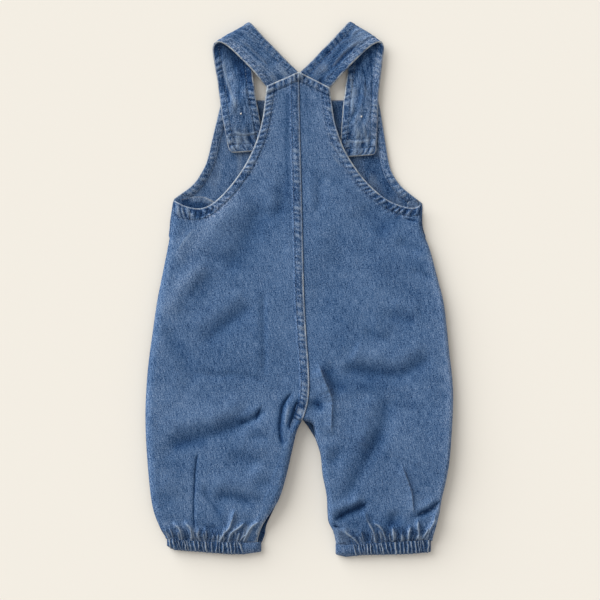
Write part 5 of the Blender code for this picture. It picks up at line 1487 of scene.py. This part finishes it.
    # what lies deep in the loop under the upper run is painted darker, as painted shade
    arch = Edge(np.array([p[:2] for p in dense[: 24 * 10]]))
    deep, _, _ = arch.near(upper_plan := grid[:, :, :2].reshape(-1, 2))
    deep = deep.reshape(n + 1, cols + 1) * (s_at[:, None] > length[24 * 10])
    painted_loop_shade = (1 - ease((deep - 5.0) / 11.0)) * (s_at[:, None] > length[24 * 10 + 12]) * (upper_plan[:, 1].reshape(n + 1, cols + 1) > 176)
    shade_d = shade_d + (0.72 if side < 0 else 0.48) * painted_loop_shade
    wear_d = wear_d * (1 - 0.9 * painted_loop_shade)
    for fold in PLEATS_LEFT if side < 0 else PLEATS_RIGHT:
        made_, dark_, core_ = (v.reshape(n + 1, cols + 1) for v in fold_shape(flat, fold))
        lower_run = fold.places[0][1] > 59
        there = (s_at[:, None] > length[24 * 12]) if lower_run else (s_at[:, None] < length[24 * 9])
        height_, wear_, shade_ = (down, wear_d, shade_d) if lower_run else (up, wear_u, shade_u)
        # pleats paler along their crests: wear and painted highlight; painted shade along cracks and in grooves
        height_ += made_ * there
        wear_ += (0.42 if lower_run else 0.22) * np.clip(core_, 0, 1) * there
        shade_ += (0.75 * np.clip(-core_, 0, 1) + 0.35 * np.clip(-made_, 0, 1)) * there
    # the cloth's edges are rounded, and its two ends closed
    rim = np.minimum(edge_in, np.minimum(to_end, s_mm))
    t = np.clip(rim / 0.95, 0, 1)
    half = STRAP_CLOTH / 2 * np.sqrt(np.maximum(1 - (1 - t) ** 2, 0))
    turned_over = ease((s_at - length[24 * 9]) / (length[24 * 12] - length[24 * 9]))[:, None]
    upper = grid + normal * (half + (1 - 0.8 * turned_over) * up * ease(rim / 1.2))[:, :, None]
    lower = grid - normal * (half + (0.2 + 0.8 * turned_over) * down * ease(rim / 1.2))[:, :, None]
    # nothing dips under the surface the garment lies on
    lower[:, :, 2] = np.maximum(lower[:, :, 2], 0.0)
    upper[:, :, 2] = np.maximum(upper[:, :, 2], 0.0)
    rows_n, cols_n = n + 1, cols + 1
    ids_u = np.arange(rows_n * cols_n).reshape(rows_n, cols_n)
    ids_d = ids_u + rows_n * cols_n
    border = np.zeros((rows_n, cols_n), bool)
    border[0], border[-1], border[:, 0], border[:, -1] = True, True, True, True
    ids_d[border] = ids_u[border]
    quad = lambda ids: np.stack([ids[:-1, :-1], ids[:-1, 1:], ids[1:, 1:], ids[1:, :-1]], axis=2).reshape(-1, 4)
    fu, fd = quad(ids_u), quad(ids_d)[:, ::-1]
    verts = np.vstack([upper.reshape(-1, 3), lower.reshape(-1, 3)])
    a, b, c = verts[fu[len(fu) // 9][0]], verts[fu[len(fu) // 9][1]], verts[fu[len(fu) // 9][2]]
    if np.cross(b - a, c - b)[2] < 0:
        fu, fd = fu[:, ::-1], fd[:, ::-1]
    faces = np.vstack([fu, fd])
    tones = {
        "wear": np.concatenate([wear_u.ravel(), wear_d.ravel()]),
        "shade": np.concatenate([shade_u.ravel(), shade_d.ravel()]),
        "cream": np.concatenate([cream_u.ravel(), cream_d.ravel()]),
        "rub": np.concatenate([rub_u.ravel(), rub_d.ravel()]),
    }
    cloth = np.stack([t_mm + 200, s_mm, np.full_like(t_mm, 5.0 + side)], axis=2).reshape(-1, 3)
    cloth = np.vstack([cloth, cloth + (0, 0, 3)])
    used = np.unique(faces)
    back = np.full(len(verts), -1)
    back[used] = np.arange(len(used))
    made = make_mesh(name, verts[used], back[faces], {k: v[used] for k, v in tones.items()}, STRAP, cloth[used])
    return made, {"grid": grid, "normal": normal, "upper": upper, "lower": lower, "s": s_at, "width": width, "area": float(length[-1] * width.mean())}


strap_left, plan_left = strap("strap_left_cloth", STRAP_LEFT, -1)
strap_right, plan_right = strap("strap_right_cloth", STRAP_RIGHT, 1)


# ---- casings --------------------------------------------------------------------------------------------------------------
def casing(name, rows, side):
    """An elastic casing: a flattened tube of turned-up cloth, open at the leg's end, gathered into uneven ridges."""
    x0, x1 = rows[0][0], rows[-1][0]
    xs_t, tops, bottoms = [r[0] for r in rows], [r[1] for r in rows], [r[2] for r in rows]
    nu = 400
    nd = 110
    levels = 19
    up = np.linspace(0, 1, nu + 1)
    dn = np.linspace(1, 0, nd + 1)[1:-1]
    x_loop = np.concatenate([x0 + (x1 - x0) * up, x0 + (x1 - x0) * dn])
    is_up = np.concatenate([np.ones(nu + 1, bool), np.zeros(nd - 1, bool)])
    near_end = np.minimum(np.abs(x_loop - x0), np.abs(x_loop - x1))
    crown = np.sqrt(1 - (1 - np.clip(near_end / 6.0, 0, 1)) ** 2)
    share = np.linspace(0, 1, levels)
    share = 0.5 - 0.5 * np.cos(math.pi * share)
    order = np.argsort(xs_t)
    top_y = np.interp(x_loop, np.array(xs_t)[order], np.array(tops)[order]) + 1.45
    bot_y = np.interp(x_loop, np.array(xs_t)[order], np.array(bottoms)[order])
    if side < 0:
        patch = ease((x_loop + 53.0) / 5.0)
    else:
        patch = 1 - ease((x_loop - 46.0) / 5.0)
    verts, tones = [], {"wear": [], "shade": [], "cream": [], "rub": []}
    for t in share:
        y = top_y + (bot_y - top_y) * t
        r = ridges(x_loop, y, side)
        bulge = 0.97 + 0.03 * math.sin(math.pi / 2 * t / 0.35) if t < 0.35 else math.sqrt(max(0.0, 1 - ((t - 0.35) / 0.65) ** 2.4))
        small = 0.35 * noise(x_loop, y, 2.4, 3) * (1 - patch)
        z_up = 2.5 + (5.0 + 0.5 * patch) * crown * bulge + (2.2 * r + small) * crown * (0.35 + 0.65 * bulge) * (1 - 0.9 * patch)
        z_up += 0.25 * patch * noise(x_loop, y, 5, 2)
        folds_dn = pucker(x_loop, y, 4.6, 6, 0.2)
        z_dn = 0.55 * (1 - bulge) + 0.42 * (1 - folds_dn) * bulge + 1.6 * (1 - crown)
        z = np.where(is_up, z_up, z_dn)
        shift = np.where(is_up, 0.8 * r * (1 - patch) * (t > 0.5) * (t - 0.5) / 0.5, 0.0)  # the ridges carry on over the lower edge
        verts.append(np.stack([x_loop, y - shift * 0.9, z], axis=1))
        # crests paler: wear and painted highlight; painted shade in the hollows between the ridges; dark dots at the
        # stitch holes; the lower part painted lighter, as painted light
        crest = np.where(is_up, r * (1 - 0.9 * patch), np.clip(folds_dn - 0.3, 0, 1) * 0.8)
        tones["wear"].append(1.0 * np.clip((crest - 0.32) / 0.5, 0, 1) ** 1.1 * (0.6 + 0.4 * bulge))
        hollow = np.where(is_up, np.clip(0.42 - crest, 0, 0.42) / 0.42 * (1 - patch), np.clip(0.4 - crest, 0, 1))
        dots = np.exp(-(((t - 0.14) / 0.05) ** 2)) * (0.5 + 0.5 * np.cos(2 * math.pi * x_loop / 2.5)) * is_up
        tones["shade"].append((0.80 if side < 0 else 0.88) * hollow + 0.30 * dots - 0.30 * ease((t - 0.62) / 0.3))
        tones["cream"].append(np.where(is_up, 0.30 * np.clip((crest - 0.8) / 0.2, 0, 1), 0.0))
        tones["rub"].append(np.full(len(x_loop), 0.9))
    outer = np.array(verts)  # levels x loop
    # inside of the tube: the same loop drawn in
    inner = outer.copy()
    thick = 1.5
    inner[:, is_up, 2] = np.maximum(outer[:, is_up, 2] - thick, outer[:, is_up, 2] * 0.45)
    inner[:, is_up, 2] = np.maximum(inner[:, is_up, 2], 1.9)
    inner[:, ~is_up, 2] = outer[:, ~is_up, 2] + 1.2
    centre = (x0 + x1) / 2
    pull = np.clip(1 - near_end / 3.0, 0, 1) * 1.6
    inner[:, :, 0] += np.sign(centre - x_loop)[None, :] * pull[None, :]
    inner[:, :, 2] = np.where(near_end[None, :] < 1.2, 2.2, inner[:, :, 2])
    # rounded lips between the two faces, at the leg's end and at the stitch line
    def lip(a, b, out):
        made = []
        for k in (0.25, 0.5, 0.75):
            q = a * (1 - k) + b * k
            q = q.copy()
            q[:, 1] += out * math.sin(math.pi * k)
            made.append(q)
        return made

    rings = [*outer, *lip(outer[-1], inner[-1], -0.75), *inner[::-4], *lip(inner[0], outer[0], 0.12)]
    n = len(x_loop)
    pts = np.vstack(rings)
    faces = []
    for k in range(len(rings)):
        a, b = k * n, ((k + 1) % len(rings)) * n
        i = np.arange(n)
        j = (i + 1) % n
        faces.append(np.stack([a + i, a + j, b + j, b + i], axis=1))
    faces = np.vstack(faces)
    made_tones = {}
    for key in tones:
        rows_ = [*tones[key]]
        rest = len(rings) - len(rows_)
        fade = [tones[key][-1] * (0.8 if key != "cream" else 0.5)] * 3 + [np.full(n, {"shade": 0.25, "rub": 0.5}.get(key, 0.0))] * (rest - 3)
        made_tones[key] = np.concatenate([*rows_, *fade])
    mid_face = faces[n * (levels // 2) + nu // 2]
    a, b, c = pts[mid_face[0]], pts[mid_face[1]], pts[mid_face[2]]
    if np.cross(b - a, c - b)[2] < 0:
        faces = faces[:, ::-1]
    cloth = np.column_stack([pts[:, 0] * 1.6, pts[:, 1], np.full(len(pts), 50.0 + side)])
    return make_mesh(name, pts, faces, made_tones, CASE, cloth)


cuff_left = casing("cuff_left_cloth", CASING_LEFT, -1)
cuff_right = casing("cuff_right_cloth", CASING_RIGHT, 1)


# ---- stitches -------------------------------------------------------------------------------------------------------------
def stitch_mesh(name, spots, material, radius=0.30):
    """Many small stitches as one mesh; each spot is a start and an end in space, with the way up."""
    ring = 6
    stations = [(-0.5, 0.0), (-0.40, 0.72), (0.0, 1.0), (0.40, 0.72), (0.5, 0.0)]
    base, faces0 = [], []
    base.append((-0.5, 0, 0))
    for s, r in stations[1:-1]:
        for k in range(ring):
            a = 2 * math.pi * k / ring
            base.append((s, r * math.cos(a), r * math.sin(a)))
    base.append((0.5, 0, 0))
    last = len(base) - 1
    for k in range(ring):
        faces0.append((0, 1 + (k + 1) % ring, 1 + k))
    for m in range(2):
        for k in range(ring):
            a, b = 1 + m * ring + k, 1 + m * ring + (k + 1) % ring
            faces0 += [(a, b, b + ring), (a, b + ring, a + ring)]
    for k in range(ring):
        faces0.append((last, 1 + 2 * ring + k, 1 + 2 * ring + (k + 1) % ring))
    base, faces0 = np.array(base), np.array(faces0)
    verts, faces = [], []
    for m, (a, b, up) in enumerate(spots):
        a, b, up = np.array(a), np.array(b), np.array(up)
        run = b - a
        size = np.linalg.norm(run)
        run = run / size
        across = np.cross(up, run)
        across /= np.linalg.norm(across)
        up2 = np.cross(run, across)
        lift_ = np.where(np.abs(base[:, 0]) < 0.3, 0.10, -0.12)
        v = (a + b) / 2 + base[:, :1] * size * run + base[:, 1:2] * radius * across + (base[:, 2:3] * radius * 0.72 + lift_[:, None]) * up2
        verts.append(v)
        faces.append(faces0 + m * len(base))
    return make_mesh(name, np.vstack(verts), np.vstack(faces), {}, material)


def along_line(line, pitch, length, height, wobble=0.12, seed=3):
    """Stitches along a plan line, set on a height function."""
    steps = np.concatenate([[0], np.cumsum(np.linalg.norm(np.diff(line, axis=0), axis=1))])
    rng = np.random.default_rng(seed)
    n = int(steps[-1] / pitch)
    starts = (np.arange(n) + 0.2) * pitch
    a = np.stack([np.interp(starts, steps, line[:, k]) for k in range(2)], axis=1)
    b = np.stack([np.interp(starts + length, steps, line[:, k]) for k in range(2)], axis=1)
    off = rng.uniform(-wobble, wobble, (n, 2))
    a, b = a + off, b + off
    za, zb = height(a), height(b)
    return [((*p, u), (*q, v), (0, 0, 1)) for p, q, u, v in zip(a, b, za, zb)]


THREAD = thread("stitch_thread", (0.115, 0.175, 0.270))
PALE_THREAD = thread("tack_thread", (0.72, 0.71, 0.68))


def face_height(left_panel):
    top = back_top(left_panel)
    return lambda p: top(p)[0] + 0.04


PITCH, LENGTH = 2.6, 1.55
high_left, high_right = face_height(True), face_height(False)
spots_left, spots_right = [], []
seam_line = curve(CENTRE_BACK, 0.8)
spots_left += along_line(aside(seam_line, -(LAP_WIDTH - 0.7))[4:-6], PITCH, LENGTH, high_left, 0.05)
spots_left += along_line(aside(seam_line, -2.0)[2:-2], PITCH, LENGTH, high_left, 0.05)
arm_line = aside(curve(ARMHOLE_LEFT, 0.8), 7.4)
arm_at = np.concatenate([[0], np.cumsum(np.linalg.norm(np.diff(curve(ARMHOLE_LEFT, 0.8), axis=0), axis=1))])
wide = 7.4 + 3.6 * ease((arm_at - 0.72 * arm_at[-1]) / (0.2 * arm_at[-1]))
base_line = curve(ARMHOLE_LEFT, 0.8)
run = np.gradient(base_line, axis=0)
run /= np.linalg.norm(run, axis=1)[:, None]
arm_line = base_line + wide[:, None] * np.stack([-run[:, 1], run[:, 0]], axis=1)
spots_left += along_line(arm_line[8:-4], PITCH, LENGTH, high_left, 0.08)
spots_left += along_line(TOP_EDGE_LEFT[2:-8] - (0, 7.4), PITCH, LENGTH, high_left, 0.08)
arm_line = aside(curve(ARMHOLE_RIGHT, 0.8), -7.4)
spots_right += along_line(arm_line[8:-4], PITCH, LENGTH, high_right, 0.08)
spots_right += along_line(TOP_EDGE_RIGHT[2:-8] - (0, 7.4), PITCH, LENGTH, high_right, 0.08)
for side, store, high in ((-1, spots_left, high_left), (1, spots_right, high_right)):
    line = hem_line(side) + (0, -0.1)
    line = line[(np.abs(line[:, 0]) > 41) & (np.abs(line[:, 0]) < 116)]
    on_casing = lambda p, side=side: 7.56 + 2.15 * ridges(p[:, 0], p[:, 1], side)
    store += along_line(line, 2.5, 1.4, on_casing, 0.05)
stitches_left = stitch_mesh("back_left_stitches", spots_left, THREAD)
stitches_right = stitch_mesh("back_right_stitches", spots_right, THREAD)


def strap_stitches(name, plan):
    grid, normal, s, width = plan["grid"], plan["normal"], plan["s"], plan["width"]
    cols = grid.shape[1] - 1
    spots = []

    def on(s_, share):
        i = np.clip(np.searchsorted(s, s_) - 1, 0, len(s) - 2)
        f = (s_ - s[i]) / (s[i + 1] - s[i])
        j = min(int(share * cols), cols - 1)
        g = share * cols - j
        over = normal[i, j, 2] > -0.2  # the face that shows is the ribbon's other one once it has turned over
        upper = plan["upper"] if over else plan["lower"]
        p = (upper[i, j] * (1 - g) + upper[i, j + 1] * g) * (1 - f) + (upper[i + 1, j] * (1 - g) + upper[i + 1, j + 1] * g) * f
        return p, normal[i, j] * (1 if over else -1)

    end = s[-1]
    for inset in (6.4,):
        for from_outer in (True, False):
            k = 6.0
            while k + LENGTH < end - 7.5:
                i = int(np.searchsorted(s, k))
                share = inset / width[i] if from_outer else 1 - inset / width[i]
                a, up = on(k, share)
                b, _ = on(k + LENGTH, share)
                spots.append((a + up * 0.05, b + up * 0.05, up))
                k += PITCH
    for back_off in (7.6, 15.6):
        m = 2.0
        w = width[-1]
        while m + LENGTH < w - 1.0:
            a, up = on(end - back_off, m / w)
            b, _ = on(end - back_off, (m + LENGTH) / w)
            spots.append((a + up * 0.05, b + up * 0.05, up))
            m += PITCH
    return stitch_mesh(name, spots, THREAD)


strap_stitch_left = strap_stitches("strap_left_stitches", plan_left)
strap_stitch_right = strap_stitches("strap_right_stitches", plan_right)


# ---- buttons ---------------------------------------------------------------------------------------------------------------
def button(name, bx, by):
    """A four-hole button lying face down under the bib; its shank of thread and the tack on the strap above are made
    after it.
    """
    segments = 48
    profile = [(0.0, 0.55), (1.2, 0.55), (4.6, 0.50), (5.2, 0.28), (5.9, 0.06), (6.6, 0.02), (7.15, 0.22), (7.45, 0.7), (7.5, 1.2),
               (7.3, 1.75), (6.8, 2.15), (5.6, 2.38), (3.0, 2.4), (0.0, 2.4)]
    verts, faces = [], []
    rows_ = []
    for r, z in profile:
        if r == 0:
            rows_.append([len(verts)])
            verts.append((bx, by, z))
        else:
            rows_.append(list(range(len(verts), len(verts) + segments)))
            for k in range(segments):
                a = 2 * math.pi * k / segments
                verts.append((bx + r * math.cos(a), by + r * math.sin(a), z))
    for a, b in zip(rows_, rows_[1:]):
        for k in range(segments):
            k2 = (k + 1) % segments
            if len(a) == 1:
                faces.append((a[0], b[k2], b[k]))
            elif len(b) == 1:
                faces.append((a[k], a[k2], b[0]))
            else:
                faces.append((a[k], a[k2], b[k2], b[k]))
    mesh = bpy.data.meshes.new(name)
    mesh.from_pydata([tuple(np.array(v) * MM) for v in verts], [], faces)
    mesh.update()
    mesh.shade_smooth()
    mesh.materials.append(RESIN)
    made = bpy.data.objects.new(name, mesh)
    bpy.context.scene.collection.objects.link(made)
    return made


RESIN, tree_, shader_ = nodes_of("button_resin")
coord = tree_.nodes.new("ShaderNodeTexCoord")
swirl = tree_.nodes.new("ShaderNodeTexNoise")
swirl.inputs["Scale"].default_value = 320.0
swirl.inputs["Detail"].default_value = 4.0
swirl.inputs["Distortion"].default_value = 2.0
ramp_ = tree_.nodes.new("ShaderNodeValToRGB")
ramp_.color_ramp.elements[0].position = 0.35
ramp_.color_ramp.elements[0].color = (0.16, 0.10, 0.05, 1)
ramp_.color_ramp.elements[1].position = 0.7
ramp_.color_ramp.elements[1].color = (0.46, 0.36, 0.24, 1)
tree_.links.new(coord.outputs["Object"], swirl.inputs["Vector"])
tree_.links.new(swirl.outputs["Fac"], ramp_.inputs["Fac"])
tree_.links.new(ramp_.outputs["Color"], shader_.inputs["Base Color"])
shader_.inputs["Roughness"].default_value = 0.38
shader_.inputs["Specular IOR Level"].default_value = 0.5

buttons, tacks = {}, {}
for word, (bx, by), plan in (("left", BUTTONS[0], plan_left), ("right", BUTTONS[1], plan_right)):
    buttons[word] = button(f"button_{word}_disc", bx, by)
    # where the tack shows on the strap's upper face
    mark = at(241.0, 114.0) if word == "left" else at(361.4, 116.9)
    upper = plan["lower"].reshape(-1, 3)
    front_part = upper[len(upper) // 2 :]
    k = np.argmin(np.linalg.norm(front_part[:, :2] - mark, axis=1))
    z_top = front_part[k, 2]
    spots = []
    for j, (dx, dy) in enumerate(((-0.25, 0.0), (0.05, 0.12), (0.32, 0.02))):
        spots.append(((mark[0] + dx - 0.15, mark[1] + dy - 0.8, z_top + 0.16), (mark[0] + dx + 0.1, mark[1] + dy + 0.8, z_top + 0.16), (0, 0, 1)))
    spots.append(((mark[0] - 0.7, mark[1] + 0.1, z_top + 0.34), (mark[0] + 0.7, mark[1] - 0.1, z_top + 0.34), (0, 0, 1)))
    # the shank, and the cross of thread in the button's face
    for k in range(6):
        a = 2 * math.pi * k / 6
        spots.append(((bx + 0.55 * math.cos(a), by + 0.55 * math.sin(a), 2.3), (bx + 0.5 * math.cos(a + 0.5), by + 0.5 * math.sin(a + 0.5), 5.4), (math.cos(a), math.sin(a), 0)))
    for dx, dy in ((1, 1), (1, -1)):
        spots.append(((bx - 1.1 * dx, by - 1.1 * dy, 0.48), (bx + 1.1 * dx, by + 1.1 * dy, 0.48), (0, 0, -1)))
    tacks[word] = stitch_mesh(f"button_{word}_thread", spots, PALE_THREAD, 0.36)

# ---- what rides and replaces ----------------------------------------------------------------------------------------------
for word, piece, area in (("left", back_left, back_left_area), ("right", back_right, back_right_area)):
    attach(piece, "root")
    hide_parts(f"back_{word}")
    front, area = fronts[word]
    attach(front, "root")
    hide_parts(f"front_{word}")
    facing, area = facings[word]
    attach(facing, "root")
    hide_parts(f"facing_{word}")
    under, area = underarms[word]
    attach(under, "root")
    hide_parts(f"underarm_{word}")
    ribbon, plan = (strap_left, plan_left) if word == "left" else (strap_right, plan_right)
    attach(ribbon, "root")
    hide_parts(f"strap_{word}")
    cuff = cuff_left if word == "left" else cuff_right
    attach(cuff, "root")
    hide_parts(f"cuff_{word}")
    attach(buttons[word], "root")
    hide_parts(f"button_{word}")
    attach(tacks[word], "root")
for piece, slot in ((stitches_left, "denim_outer"), (stitches_right, "denim_outer"), (strap_stitch_left, "denim_strap"), (strap_stitch_right, "denim_strap")):
    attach(piece, "root")

# ---- floor, light, camera --------------------------------------------------------------------------------------------------
floor_mesh = bpy.data.meshes.new("floor")
w = 3.0
floor_mesh.from_pydata([(-w, -w, -0.0002), (w, -w, -0.0002), (w, w, -0.0002), (-w, w, -0.0002)], [], [(0, 1, 2, 3)])
floor = bpy.data.objects.new("floor", floor_mesh)
bpy.context.scene.collection.objects.link(floor)
paper, tree_, shader_ = nodes_of("pale_floor")
shader_.inputs["Base Color"].default_value = (0.844, 0.822, 0.763, 1)
shader_.inputs["Roughness"].default_value = 0.95
shader_.inputs["Specular IOR Level"].default_value = 0.1
floor_mesh.materials.append(paper)

world = bpy.data.worlds.new("soft_room")
bpy.context.scene.world = world
world.use_nodes = True
world.node_tree.nodes["Background"].inputs["Color"].default_value = (1.0, 0.953, 0.905, 1)
world.node_tree.nodes["Background"].inputs["Strength"].default_value = 0.57

sun = bpy.data.lights.new("window", "SUN")
sun.energy = 4.45
sun.angle = math.radians(60)
sun.color = (1.0, 0.997, 0.99)
lamp = bpy.data.objects.new("window", sun)
elevation = math.radians(20)
towards = Vector((LIGHT_FROM[0] * math.cos(elevation), LIGHT_FROM[1] * math.cos(elevation), math.sin(elevation)))
lamp.rotation_euler = towards.to_track_quat("Z", "Y").to_euler()
bpy.context.scene.collection.objects.link(lamp)

camera_data = bpy.data.cameras.new("camera")
camera_data.lens = 100
camera_data.sensor_width = 36
camera_data.clip_start = 0.05
camera_data.clip_end = 20
camera = bpy.data.objects.new("camera", camera_data)
camera.location = (0.0003, -0.0100, 1.5 + 0.005)
bpy.context.scene.collection.objects.link(camera)
bpy.context.scene.camera = camera

bpy.context.scene.view_settings.view_transform = "Standard"
bpy.context.scene.view_settings.look = "None"
